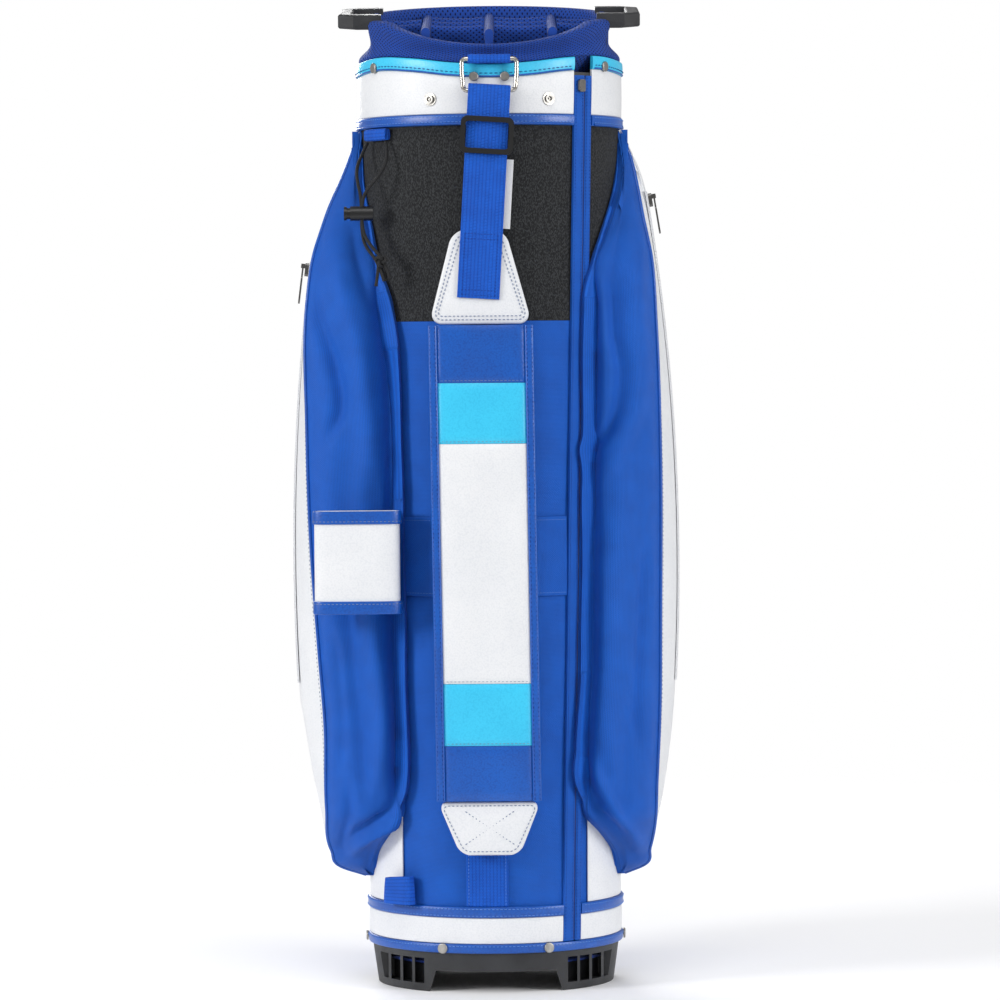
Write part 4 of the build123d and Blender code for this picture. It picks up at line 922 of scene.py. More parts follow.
def ring_loop():
    """Webbing folded round the ring's top bar, both tails running back into the cuff's foot."""
    radius = 2.5 + WEBBING / 2
    back = face_y(0, RING_TOP, 1.4) + 0.2
    turn = arc((RING_Y, RING_TOP), radius, 60, 300, 24)
    upper, lower = (back, RING_TOP + 0.85), (back, RING_TOP - 0.85)
    path = np.concatenate([straight(upper, turn[0])[:-1], turn, straight(turn[-1], lower)[1:]])
    return shell("ring_loop", ribbon(path, WEBBING_WIDTH, WEBBING * 0.94), blue_webbing, stands_for=("ring_tab",))


ring_loop()


def lean_x(z):
    """How far the pad's middle line stands from upright at a height."""
    return PAD_MIDDLE + PAD_LEAN * (z - 380.0)


def pad_body():
    """The pad's padded body: a flat back, round sides, and a shallow crown whose long edges pull in a little."""
    z = np.concatenate([[PAD_LOW + 0.4], np.linspace(PAD_LOW + 1.4, PAD_HIGH - 1.2, 140), [PAD_HIGH - 0.4]])[:, None]
    turn = np.linspace(0, np.pi, 13)
    half = 45.4
    x = np.concatenate([[half - 3, half - 1], half + 0.3 * np.sin(turn[3:10]), np.linspace(half - 2.2, -half + 2.2, 25),
                        -half - 0.3 * np.sin(turn[3:10]), [-half + 1, -half + 3]])
    y = np.concatenate([[-117.3, -117.6], np.linspace(-119, -127.4, 7), np.full(25, -128.3),
                        np.linspace(-127.4, -119, 7), [-117.6, -117.3]])
    sway = 0.35 * np.sin(z / 23) * np.sign(x) * (np.abs(x) > half - 1)
    rings = spread(lean_x(z) + x - sway, y + 0 * z, z + 0 * x)
    return shell("pad_body", rings, blue_coated, "strap", stands_for=("strap_pad",))


def pad_panel(name, low, high, material):
    """One face panel: a quilted pillow between the bindings, crowned across and sinking to its two sewn ends."""
    z = np.linspace(low + 0.15, high - 0.15, max(14, int((high - low) / 3.0)))[:, None]
    u = np.linspace(-1, 1, 41)
    x = 38.2 * u
    ends = np.minimum(z - low, high - z)
    across = (1 - np.abs(u) ** 5) ** 0.6
    sunk = 1 - 0.55 * np.exp(-ends / 2.2)
    soft = 0.22 * np.sin(z / 19 + x / 31) + 0.15 * np.sin(x / 9 - z / 47)
    front = -128.4 - 0.2 - (3.0 + soft) * across * sunk
    face = spread(lean_x(z) + x, front, z + 0 * x)
    rear = spread(lean_x(z) + x, -128.0 + 0 * front, z + 0 * x)
    piece = shell(name, two_sided(face, rear), material, "strap")
    return piece


def pad_bindings():
    """Rolled bindings down the pad's two long sides: half-round strips with sewn edges."""
    z = np.linspace(PAD_LOW + 0.8, PAD_HIGH - 0.8, 170)[:, None]
    t = np.linspace(0, np.pi, 15)
    parts, rows, run = [], [], z[:, 0]
    for side in (-1, 1):
        w = 3.9 * np.cos(t) + 42.1
        h = -128.4 - 2.5 * np.sin(t) ** 0.7 - 0.15 * np.sin(z / 6.0) * np.sin(t)
        front = spread(lean_x(z) + side * w, h, z + 0 * w)
        rear = spread(lean_x(z) + side * w[[0, -1]], np.full((len(z), 2), -127.8), z + 0 * w[[0, -1]])
        parts.append(two_sided(front, rear))
        for place_, y in ((40.0, -130.75), (44.6, -130.4)):
            rows.append((spread(lean_x(run) + side * place_, np.full(len(run), y), run), (0, -1, 0)))
    several("pad_bindings", parts, blue_coated, "strap")
    stitches("pad_stitches", rows, blue_thread, "strap", length=2.2, thick=0.6, pitch=3.8)


def pad_seams(heights):
    """Stitches across the face panels, just above each seam between two colours."""
    rows = []
    for z in heights:
        x = np.linspace(-36.5, 36.5, 60)
        rows.append((spread(lean_x(z) + x, np.full(60, -130.95), np.full(60, z + 2.0)), (0, -1, 0)))
    stitches("panel_seam_stitches", rows, grey_thread, "strap", length=2.2, thick=0.45, pitch=3.4)


pad_body()
for name, low, high, finish in (
    ("pad_panel_top_blue", 538.6, 589.0, blue_coated), ("pad_panel_top_cyan", 485.4, 538.6, cyan_coated),
    ("pad_panel_white", 275.6, 485.4, white_coated), ("pad_panel_low_cyan", 221.2, 275.6, cyan_coated),
    ("pad_panel_low_blue", 172.6, 221.2, blue_coated),
):
    pad_panel(name, low, high, finish)
pad_bindings()
pad_seams((485.4, 275.6, 221.2, 538.6))


def patch_half(z, low, high, half_low, half_high, radius):
    """Half width of a tapered patch with rounded corners: a straight taper less a quarter circle at each end."""
    half = half_low + (half_high - half_low) * (z - low) / (high - low)
    near = np.clip(radius - np.minimum(z - low, high - z), 0, radius)
    return half - radius + np.sqrt(np.clip(radius**2 - near**2, 0, None))


def patch(name, low, high, half_low, half_high, radius, front, back, material, crown=0.7):
    """Tapered patch with rounded corners and a thin rolled edge: it stands highest in its middle and falls to its
    edge along a quarter circle 2 mm wide."""
    s = 0.5 - 0.5 * np.cos(np.linspace(0, np.pi, 70))
    z = (low + 0.05 + s * (high - low - 0.1))[:, None]
    half = patch_half(z, low, high, half_low, half_high, radius)
    u = np.sin(np.linspace(-np.pi / 2, np.pi / 2, 49))
    x = half * u
    edge = np.minimum(half * (1 - np.abs(u)), np.minimum(z - low, high - z) + 0.02)
    fall = 2.0 * (1 - np.sqrt(np.clip(1 - (1 - np.clip(edge / 2.0, 0, 1)) ** 2, 0, 1)))
    swell = crown * (np.clip(edge / 22.0, 0, 1) ** 0.8 - 1)
    face = spread(lean_x(z) + x, front + fall - swell, z + 0 * x)
    rear = spread(lean_x(z) + x, np.full(face.shape[:2], back), z + 0 * x)
    return shell(name, two_sided(face, rear), material, "strap", smooth=60)


def patch_edge(low, high, half_low, half_high, radius, inset, front):
    """Line round a patch, some way in from its edge."""
    z = low + inset + (0.5 - 0.5 * np.cos(np.linspace(0, np.pi, 80))) * (high - low - 2 * inset)
    slim = max(radius - inset, 1.0)
    half = patch_half(z, low + inset, high - inset, half_low - inset, half_high - inset, slim)
    x = np.concatenate([half, -half[::-1], half[:1]])
    z = np.concatenate([z, z[::-1], z[:1]])
    return spread(lean_x(z) + x, np.full(len(x), front), z)


patch("top_patch", PAD_HIGH + 0.3, 672.4, 45.0, 23.0, 12.0, -124.9, -119.9, white_coated)
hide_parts("strap_top_patch")
patch("bottom_patch", 124.8, PAD_LOW - 0.2, 26.0, 45.0, 9.0, -127.0, -118.2, white_coated, 1.1)
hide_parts("strap_bottom_patch")
cross = np.linspace(-1, 1, 40)
cross_low = [
    (spread(lean_x(148.0) + side * 22.0 * cross, -126.55 + 0 * cross, 149.0 + 15.0 * cross), (0, -1, 0))
    for side in (-1, 1)
]
stitches(
    "patch_stitches",
    [
        (patch_edge(PAD_HIGH + 0.3, 672.4, 45.0, 23.0, 12.0, 4.0, -124.6), (0, -1, 0)),
        (patch_edge(PAD_HIGH + 0.3, 672.4, 45.0, 23.0, 12.0, 7.2, -124.75), (0, -1, 0)),
        (patch_edge(124.8, PAD_LOW - 0.2, 26.0, 45.0, 9.0, 3.4, -126.45), (0, -1, 0)),
        *cross_low,
    ],
    grey_thread, "strap", length=2.3, thick=0.8, pitch=3.6,
)


# ---------------------------------------------------------------- cloth on the tube's strap side
def laid(name, x_low, x_high, z_low, z_high, thick, material, stands_for, count=(60, 40)):
    """Cloth sewn flat on the tube: a thin layer from 0.2 mm off it, with its four edges rounded over 1 mm."""
    z = (z_low + (z_high - z_low) * (0.5 - 0.5 * np.cos(np.linspace(0, np.pi, count[1]))))[:, None]
    x = x_low + (x_high - x_low) * (0.5 - 0.5 * np.cos(np.linspace(0, np.pi, count[0])))
    edge = np.minimum(np.minimum(x - x_low, x_high - x), np.minimum(z - z_low, z_high - z))
    rise = thick * np.sqrt(np.clip(1 - (1 - np.clip(edge + 0.15, 0, 1)) ** 2, 0, 1))
    x, z = np.broadcast_arrays(x, z)
    turn = turn_of(x, z)
    return shell(name, two_sided(around(turn, z, 0.2 + rise), around(turn, z, 0.15)), material, stands_for=stands_for)


def line_on_tube(x_low, x_high, z_low, z_high, off, count=80):
    """Straight line laid on the tube, with its outward way."""
    x, z = np.linspace(x_low, x_high, count), np.linspace(z_low, z_high, count)
    path = around(turn_of(x, z), z, off)
    return path, around(turn_of(x, z), z, off + 1) - path


anchor_left, anchor_right = PAD_MIDDLE - WEBBING_WIDTH / 2, PAD_MIDDLE + WEBBING_WIDTH / 2
laid("anchor_webbing", anchor_left, anchor_right, 77.5, 146.0, WEBBING, blue_webbing, ("strap_anchor",))
band_right = zip_x(385.0) - ZIP_WIDTH / 2 - 0.4
laid("waist_band_cloth", -79.6, band_right, 350.5, 420.5, 1.1, blue_cloth, ("waist_band",), (90, 40))
stitches(
    "tube_stitches",
    [
        line_on_tube(anchor_left + 2.5, anchor_left + 2.5, 78.5, 127, 1.85),
        line_on_tube(anchor_right - 2.5, anchor_right - 2.5, 78.5, 127, 1.85),
        line_on_tube(-78, band_right - 1, 353.4, 353.4, 1.35, 200),
        line_on_tube(-78, band_right - 1, 417.6, 417.6, 1.35, 200),
    ],
    pale_thread, length=1.9, thick=0.42, pitch=3.0,
)


# ---------------------------------------------------------------- umbrella holder
def rounded_plan(width, depth, radius, count=120):
    """Rounded rectangle as points: a superellipse whose power makes its corners about the radius asked for."""
    turn = np.linspace(0, 2 * np.pi, count, endpoint=False)
    power = 2.0 / (2.0 + 2.6 * (1 - 2 * radius / depth) + 1.2)
    c, s = np.cos(turn), np.sin(turn)
    return spread(np.sign(c) * np.abs(c) ** power * width / 2, np.sign(s) * np.abs(s) ** power * depth / 2)


def sleeve_wall(name, plan, z, wall, middle, material, bow=0.0, stands_for=()):
    """Upright wall round a plan: an outer face that bows out by a sine over its height, and a straight inner face."""
    way = unit(np.roll(plan, -1, axis=0) - np.roll(plan, 1, axis=0))
    out = spread(way[:, 1], -way[:, 0])
    share = (z - z[0]) / (z[-1] - z[0])
    edge = np.minimum(np.minimum(z - z[0], z[-1] - z), 0.6)
    push = bow * np.sin(np.pi * share) - 0.6 + np.sqrt(np.clip(0.36 - (0.6 - edge) ** 2, 0, None))
    outer = plan[:, None] + out[:, None] * push[:, None]
    inner = plan[:, None] - out[:, None] * wall + 0 * outer
    rings = [np.concatenate([k + np.asarray(middle), np.broadcast_to(z[None, :, None], (*k.shape[:2], 1))], -1)
             for k in (outer, inner)]
    return shell(name, two_sided(*rings), material, loop=True, stands_for=stands_for)


SLEEVE_MIDDLE = (-119.0, -106.4)
sleeve_z = np.concatenate([[336.7, 336.9, 337.2], np.linspace(338, 425.6, 30), [426.3, 426.6, 426.8]])
sleeve_plan = rounded_plan(75.2, 27.2, 10.5)
sleeve_wall(
    "umbrella_sleeve_skin", sleeve_plan, sleeve_z, 2.4, SLEEVE_MIDDLE, white_coated, 0.0, ("umbrella_sleeve",),
)
binding_plan = rounded_plan(77.8, 29.8, 11.5)
for tag, low in (("low", 336.5), ("high", 415.5)):
    z = np.concatenate([
        [low, low + 0.25, low + 0.6], np.linspace(low + 1.4, low + 10.1, 8), [low + 10.9, low + 11.25, low + 11.5],
    ])
    sleeve_wall(f"sleeve_binding_{tag}", binding_plan, z, 1.25, SLEEVE_MIDDLE, blue_coated, 0.15)
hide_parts("sleeve_bindings")
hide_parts("sleeve_bindings")
loop_line = np.concatenate([binding_plan, binding_plan[:1]])
loop_way = unit(np.gradient(loop_line, axis=0))
loop_out = spread(loop_way[:, 1], -loop_way[:, 0], 0 * loop_way[:, 0])
stitches(
    "sleeve_stitches",
    [
        (np.concatenate([loop_line + np.array(SLEEVE_MIDDLE), np.full((len(loop_line), 1), z)], -1) + loop_out * 0.12, loop_out)
        for z in (345.6, 417.9)
    ],
    grey_thread, length=2.2, thick=0.6, pitch=3.6,
)


def foot_loop():
    """Webbing loop on the tube's corner: a flattened ring that narrows and twists a little as it rises."""
    turn = np.radians(-45.0)
    seat = around(turn, 78.0, 1.5 + 7.0)
    normal = unit(np.array([half_depth(78.0) * np.sin(turn), -half_width(78.0) * np.cos(turn), 0.0]))
    side = np.array([-normal[1], normal[0], 0.0])
    plan = rounded_plan(33.4, 13.4, 6.0, 72)
    z = np.concatenate([[0, 0.3], np.linspace(1, 22.6, 16), [23.3, 23.6]])
    way = unit(np.roll(plan, -1, axis=0) - np.roll(plan, 1, axis=0))
    out = spread(way[:, 1], -way[:, 0])
    rings = []
    for wall in (0.0, 1.9):
        flat = (plan - out * wall)[:, None] * spread(1 - 0.10 * (z / 24) ** 2, 1 - 0.12 * (z / 24))[None]
        lift = z[None] + 1.4 * np.sin(flat[..., 0] / 12) * (z / 24)
        rings.append(seat + flat[..., :1] * side + flat[..., 1:] * normal + spread(0 * lift, 0 * lift, lift))
    return shell("tip_loop_webbing", two_sided(*rings), blue_webbing, loop=True, stands_for=("umbrella_loop",))


foot_loop()


# ---------------------------------------------------------------- elastic cord, its tab and knot
cord_points = {
    "cord_left": (
        (-108.6, -51.5, 751.7), (-113.0, -55.0, 742.0), (-118.3, -62.5, 729.0), (-117.2, -71.5, 716.0),
        (-113.6, -78.3, 702.5), (-113.6, -78.3, 672.5), (-110.5, -86.5, 659.0), (-98.5, -97.3, 645.0),
        (-93.8, -98.6, 628.5),
    ),
    "cord_right": (
        (-91.9, -75.4, 751.7), (-89.5, -82.5, 739.0), (-94.5, -87.5, 725.0), (-104.5, -87.2, 713.5),
        (-113.2, -81.7, 702.0), (-113.2, -81.7, 673.0), (-106.0, -89.0, 660.0), (-93.8, -98.4, 647.0),
        (-88.5, -98.6, 631.0),
    ),
}


def read_from_route(name, points):
    """Points along the smooth line that a cord's route gives: a NURBS curve of order 3 through its two ends."""
    curve = bpy.data.curves.new(name + "_route", "CURVE")
    curve.dimensions = "3D"
    spline = curve.splines.new("NURBS")
    spline.points.add(len(points) - 1)
    for knot, place_ in zip(spline.points, in_frame(points)):
        knot.co = (*place_, 1.0)
    spline.order_u = 3
    spline.use_endpoint_u = True
    curve.resolution_u = 24
    holder = bpy.data.objects.new(name + "_route", curve)
    mesh = bpy.data.meshes.new_from_object(holder)
    line = np.array([v.co for v in mesh.vertices], float)
    bpy.data.objects.remove(holder)
    bpy.data.curves.remove(curve)
    bpy.data.meshes.remove(mesh)
    return (line - axis_place) * 1000


def elastic_cord(name, points):
    """One strand of the braided elastic, from the tab, through the lock, to the knot."""
    line = read_from_route(name, points)
    run = np.concatenate([[0], np.cumsum(np.linalg.norm(np.diff(line, axis=0), axis=1))])
    braid = 1.47 + 0.03 * np.sin(run * 2.6)
    strand = shell(name, round_along(line, braid, (0.3, -1, 0.15), 14), cord_braid, stands_for=("umbrella_cord",))
    return line


def overhand_knot():
    """The knot that joins the two strands: a trefoil drawn tight, with two short tails hanging from it."""
    box = np.array(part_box("cord_knot"), float)
    middle = (box.mean(axis=0) - axis_place) * 1000
    t = np.linspace(0, 2 * np.pi, 121)[:-1]
    trefoil = spread(np.sin(t) + 2 * np.sin(2 * t), -1.25 * np.sin(3 * t), np.cos(t) - 2 * np.cos(2 * t)) * 1.5
    core = round_along(np.vstack([trefoil, trefoil[:2]]), 1.5, (0, -1, 0.3), 10)[:-1]
    tails = []
    for x, y, length in ((-2.6, -0.6, 19.0), (2.4, 0.7, 14.5)):
        s = np.linspace(0, 1, 26)
        line = spread(x + 2.2 * x / 2.6 * s**1.5, y + 1.2 * np.sin(2.4 * s), -3 - length * s)
        tails.append(round_along(middle + line, 1.45 + 0.35 * step(s, 0.9, 1.0), (0, -1, 0), 10))
    parts = [middle + core, *tails]
    return several("cord_knot_tied", parts, cord_braid, stands_for=("cord_knot",))


knot = overhand_knot()
elastic_cord("cord_left", cord_points["cord_left"])
elastic_cord("cord_right", cord_points["cord_right"])


def cord_tab_piece():
    """Folded webbing tab under the collar's trim: a flat oval section carried along its width."""
    turn = np.radians(-56.5)
    seat = around(turn, 758.0, 0.4 + 3.3)
    normal = unit(np.array([half_depth(758.0) * np.sin(turn), -half_width(758.0) * np.cos(turn), 0.0]))
    side = np.array([-normal[1], normal[0], 0.0])
    s = np.linspace(-1, 1, 36)[:, None]
    t = np.linspace(0, 2 * np.pi, 25)[:-1]
    fat = 1 - 0.06 * s**4
    h = 5.3 * np.sign(np.cos(t)) * np.abs(np.cos(t)) ** 0.6 * fat
    d = 3.1 * np.sign(np.sin(t)) * np.abs(np.sin(t)) ** 0.6 * fat + 0.12 * np.sin(16 * s)
    rings = seat + 16.8 * s[..., None] * side + d[..., None] * normal + h[..., None] * np.array([0, 0, 1.0])
    return shell("cord_tab_webbing", rings, blue_webbing, stands_for=("cord_tab",), smooth=60)


cord_tab_piece()


# ---------------------------------------------------------------- side pockets
SEAM = {
    -1: ((97, 104.5, 122, 140, 156, 170, 300, 480, 520, 576, 620, 651, 671, 716, 740, 764),
         (108, 107, 103, 92.5, 82, 81, 81, 81, 82, 87, 94.5, 101, 105, 113, 114.6, 115.4)),
    1: ((97, 104.5, 122, 140, 156, 170, 300, 500, 600, 632, 645, 665, 696, 733, 764),
        (108, 107, 103, 92, 79, 77, 79.5, 83.5, 85.6, 86.6, 89.5, 96.6, 107, 114, 115.5)),
}
PIPING = {
    -1: ((97, 104.5, 120, 160, 230, 300, 390, 500, 612, 655, 674, 697, 723, 764),
         (116, 137, 146, 149.5, 150, 155, 161, 164, 163, 156.5, 150.5, 142.5, 131, 116)),
    1: ((97, 104.5, 120, 135, 185, 250, 320, 470, 590, 650, 687, 712, 736, 764),
        (116, 133, 138, 141, 144, 147, 148, 149, 146, 142, 135, 131, 126, 116)),
}
OUTSIDE = {
    -1: ((97, 104.5, 112, 120, 157, 193, 237), (118, 140, 146, 149.3, 157.5, 164.4, 171.3)),
    1: ((97, 104.5, 112, 120, 133, 153, 182, 215), (118, 133, 137, 139, 142.7, 148, 153.4, 158.2)),
}
ABOVE = {
    -1: ((674, 697, 723, 740, 764), (151.7, 143.4, 131.7, 124.5, 117.2)),
    1: ((730, 743, 764), (132.5, 127.0, 117.2)),
}


def side_arc(side, z):
    """How far a side panel's arc reaches at a height: its circle's centre plus a side of a right triangle."""
    reach, radius, _ = REACH[side]
    return reach - radius + np.sqrt(radius**2 - (z - SIDE_MIDDLE) ** 2)


def outside(side, z):
    """Reach of a side pocket at every height: the zip's arc, joined smoothly to the rounded foot and shoulder."""
    low, high = OUTSIDE[side], ABOVE[side]
    middle = np.array([
        255.0, 262.0, 300.0, 350.0, 400.0, 450.0, 500.0, 550.0, 600.0, REACH[side][2] - 8, REACH[side][2] + 2,
    ])
    knots = np.concatenate([low[0], middle, high[0]])
    smooth_line = through(z, knots, np.concatenate([low[1], side_arc(side, middle), high[1]]))
    inside = (z > 262) & (z < REACH[side][2] - 6)
    return np.where(inside, side_arc(side, np.clip(z, 200, 760)), smooth_line)


def pocket_nodes(side, z):
    """Points in plan that a side pocket's skin passes through at each height, from its front seam to its back seam:
    the crease, the padded front, the piping, the white panel and the rear gusset. Near its ends the plan closes
    on the tube."""
    seam = through(z, *SEAM[side])
    piping = through(z, *PIPING[side])
    reach = outside(side, z)
    full = through(
        z, (97, 104.5, 125, 160, 300, 500, 632, 675, 716, 740, 764), (0, 0.5, 0.9, 1, 1, 1, 1, 0.9, 0.6, 0.35, 0),
    )
    seat = -face_y(seam, z)
    front = seat + 10.4 * full
    rear = np.clip((reach - 117.0) / 45.0, 0, 1)
    depth = np.clip(front / 88.0, 0, 1)
    x = [seam, seam + 1.6, seam + 8, seam + 0.42 * (piping - seam), seam + 0.80 * (piping - seam), piping,
         reach - 2.2 - 0.28 * (reach - piping), reach - 0.25, reach - 0.3]
    y = [-(seat + 0.3), -(seat + 5.5 * full), -(front - 0.6), -(front + 0.4), -(0.86 * front), -(0.63 * front),
         -(0.40 * front), -12 + 0 * z, 14 + 0 * z]
    for px, py, turn in (
        (reach - 4.5, 42.0, 108.0), (reach - 12, 62.0, 115.0), (reach - 31, 88.0, 122.0), (114 + 0 * z, 101.0, 128.0),
        (99 + 0 * z, 99.0, 131.0), (94.5 + 0 * z, 80.0, 133.0), (94 + 0 * z, 64.5, 135.0),
    ):
        home = around(np.radians(turn), z, 0.4)
        x.append(home[..., 0] + (px - home[..., 0]) * rear)
        y.append(home[..., 1] + (py * (0.35 + 0.65 * depth) - home[..., 1]) * rear)
    return np.stack([spread(side * k, j) for k, j in zip(x, y)], 0)


POCKET_Z = np.concatenate([np.linspace(97, 112, 16), np.linspace(114.5, 733, 210), np.linspace(736, 763.5, 14)])


FOLDS = {  # heights, shares of the way from the seam to the piping, depth and width
    -1: (
        ((170, 300, 450, 640), (0.07, 0.08, 0.09, 0.06), -5.5, 6.0),
        ((486, 516, 557, 596, 630), (0.80, 0.64, 0.69, 0.85, 0.93), -4.6, 6.5),
        ((455, 530, 560, 616, 660), (0.30, 0.33, 0.36, 0.50, 0.55), 4.2, 11.0),
        ((560, 600, 650, 700), (0.12, 0.16, 0.30, 0.42), -2.8, 7.0),
        ((180, 230, 333, 400), (0.30, 0.27, 0.34, 0.42), 4.4, 8.5),
        ((170, 252, 333, 420), (0.50, 0.58, 0.62, 0.66), -4.0, 8.0),
        ((190, 260, 330), (0.83, 0.80, 0.84), -2.0, 5.0),
        ((112, 133, 150, 175), (0.60, 0.36, 0.06, 0.0), 4.8, 6.0),
        ((128, 148, 160, 185), (0.66, 0.42, 0.20, 0.05), -4.4, 6.0),
        ((106, 120, 150, 190), (0.86, 0.80, 0.72, 0.70), -2.4, 5.0),
    ),
    1: (
        ((180, 300, 450, 640), (0.08, 0.10, 0.08, 0.06), -5.8, 6.5),
        ((470, 480, 502, 540, 585, 640), (0.02, 0.10, 0.36, 0.49, 0.40, 0.44), -5.0, 7.0),
        ((450, 480, 540, 610, 660), (0.20, 0.46, 0.74, 0.70, 0.72), 3.6, 10.0),
        ((600, 640, 680, 715), (0.26, 0.34, 0.40, 0.50), -2.6, 6.0),
        ((215, 240, 338, 400), (0.77, 0.72, 0.78, 0.80), -2.8, 5.0),
        ((200, 300, 430), (0.34, 0.30, 0.36), 3.0, 12.0),
        ((112, 126, 154, 195, 215), (0.78, 0.66, 0.46, 0.20, 0.12), 4.8, 6.5),
        ((140, 154, 184, 210), (0.36, 0.24, 0.08, 0.03), -4.4, 6.0),
        ((150, 200, 250), (0.56, 0.60, 0.62), -2.6, 7.0),
    ),
}


FOLD_DEPTH = 1.45  # deepens every fold by the same factor


def fold_push(side, s, span, h):
    """How far the cloth stands out of its smooth shape: each fold is a bell across a line that wanders up the
    gusset, fading out at the line's two ends."""
    push = 0 * s
    for heights, shares, depth, width in FOLDS[side]:
        line = through(h, heights, shares) * span
        fade = step(h, heights[0] - 14, heights[0] + 26) * (1 - step(h, heights[-1] - 34, heights[-1] + 8))
        push = push + FOLD_DEPTH * depth * fade * np.exp(-(((s - line) / width) ** 2))
    return push


def pocket_grid(side, start, end, count, z=POCKET_Z):
    """Points of a side pocket's skin between two nodes of its plan, with its folds in the front gusset over a
    faint ripple of two sine waves."""
    nodes = pocket_nodes(side, z)
    at = np.linspace(start, end, count)
    plan = through(at, np.arange(len(nodes)), nodes.reshape(len(nodes), -1)).reshape(count, len(z), 2)
    points = np.concatenate([plan, np.broadcast_to(z[None, :, None], (count, len(z), 1))], -1).transpose(1, 0, 2)
    away = spread(side * np.ones(points.shape[:2]), np.sign(points[..., 1]) * 1.0, 0 * points[..., 0])
    normal = outward(points, away)
    h = z[:, None]
    seam = through(z, *SEAM[side])[:, None]
    s, span = np.abs(points[..., 0]) - seam, through(z, *PIPING[side])[:, None] - seam
    wide = step(at, 0.1, 0.7) * (1 - step(at, 4.3, 4.95)) if end <= 5 else 0 * at
    tall = step(h, 102, 125) * (1 - step(h, 690, 745))
    ripple = 0.7 * np.sin((s + 3 * np.sin(h / 60)) / 4.6) + 0.5 * np.sin(h / 19.0 + s / 8.0)
    soft = 0.8 * np.sin(h / 37.0 + at * 2.1) * np.sin(at * 3.3 + h / 90.0)
    push = (fold_push(side, s, span, h) + ripple) * wide * tall
    if start >= 9:
        push = soft * step(h, 120, 160) * (1 - step(h, 650, 720))
    return points + normal * push[..., None], normal


def pocket_piece(name, side, start, end, count, material, stands_for=()):
    """One panel of a side pocket: its skin and the same skin 1.6 mm further in."""
    grid, normal = pocket_grid(side, start, end, count)
    return shell(name, two_sided(grid, grid - normal * 1.6), material, stands_for=stands_for, smooth=50)


def pocket_line(side, at, z=POCKET_Z):
    """Line up a side pocket at one place in its plan, and the way out from it."""
    nodes = pocket_nodes(side, z)
    around_it = np.array([at - 0.05, at, at + 0.05])
    plan = through(around_it, np.arange(len(nodes)), nodes.reshape(len(nodes), -1)).reshape(3, len(z), 2)
    run = unit(plan[2] - plan[0])
    out = spread(side * np.abs(run[:, 1]), np.sign(plan[1][:, 1]) * np.abs(run[:, 0]), 0 * z)
    return np.concatenate([plan[1], z[:, None]], -1), out


for side, tag in ((-1, "left"), (1, "right")):
    pocket_piece(f"side_gusset_{tag}", side, 0, 5, 84, blue_cloth, (f"side_pocket_{tag}",))
    pocket_piece(f"side_panel_{tag}", side, 5, 9, 40, white_coated)
    pocket_piece(f"side_rear_{tag}", side, 9, 15, 60, blue_cloth)
    edges, rows = [], []
    for at, inner in ((5, 5.22), (9, 8.8)):
        line, out = pocket_line(side, at)
        edges.append(round_along(line + out * 0.4, 1.7, out, 10))
        sewn, way = pocket_line(side, inner)
        rows.append((sewn[8:-6] + way[8:-6] * 0.15, way[8:-6]))
    several(f"side_piping_{tag}", edges, blue_coated)
    stitches(f"side_stitches_{tag}", rows, grey_thread, length=2.2, thick=0.5, pitch=3.8)
    line, out = pocket_line(side, 0.12)
    shell(f"side_seam_{tag}", round_along(line + out * 0.2, 0.9, out, 8), blue_cloth)


def side_zip(side, tag):
    """Zip on a side panel's arc: two tapes with a groove and a coil in it."""
    high = REACH[side][2] + 3
    z = np.linspace(SIDE_ZIP_LOW, high, 200)[:, None]
    w = np.array([-6, -5.7, -4, -1.2, -0.8, 0.8, 1.2, 4, 5.7, 6])
    off = np.array([0.25, 1.0, 1.35, 1.3, 0.6, 0.6, 1.3, 1.35, 1.0, 0.25])
    face = spread(side * (side_arc(side, z) + off), SIDE_ZIP_Y + w + 0 * z, z + 0 * w)
    rear = spread(side * (side_arc(side, z) - 0.6 + 0 * off), SIDE_ZIP_Y + w + 0 * z, z + 0 * w)
    shell(f"side_zip_tape_{tag}", two_sided(face, rear), white_webbing, stands_for=(f"side_zip_{tag}",))
    run = np.linspace(SIDE_ZIP_LOW + 1, high - 1, 1200)
    path = spread(side * (side_arc(side, run) + 0.75), np.full(len(run), SIDE_ZIP_Y), run)
    shell(f"side_zip_coil_{tag}", round_along(path, 0.5 + 0.14 * np.sin(run * 3.7), (0, 1, 0), 6), white_coil)


side_zip(-1, "left")
side_zip(1, "right")


# ---------------------------------------------------------------- pockets away from the strap
def front_grid(half, low, high, reach, grow=0.0, u_count=90, v_count=110):
    """Face of a box-like padded pocket: it rises from the tube to its reach, flat over its middle, and falls at its
    sides and ends along the eighth root of one less a high power of the distance from the middle."""
    w = np.linspace(-1, 1, u_count)
    u = np.sign(w) * (1 - (1 - np.abs(w)) ** 2.2)
    v = np.linspace(-1, 1, v_count)
    v = (np.sign(v) * (1 - (1 - np.abs(v)) ** 1.8))[:, None]
    middle, tall = (low + high) / 2, (high - low) / 2
    corner = 1 - 0.035 * (np.abs(v) ** 10)
    x = (half + grow) * u * corner
    z = middle + (tall + grow) * v + 0 * u
    slope = 1 - 0.16 * step(np.abs(v), 0.86, 1.0)
    rise = (1 - np.abs(u) ** 14) ** (1 / 3.2) * (1 - np.abs(v) ** 16) ** (1 / 3.0) * slope
    foot = -face_y(np.clip(x, -112, 112), z, 0.4)
    return x, z, foot, foot + (reach + grow - foot) * rise


ZIP_PLACE = {"ball": 385.0, "valuables": 690.0}  # height of each back pocket's zip


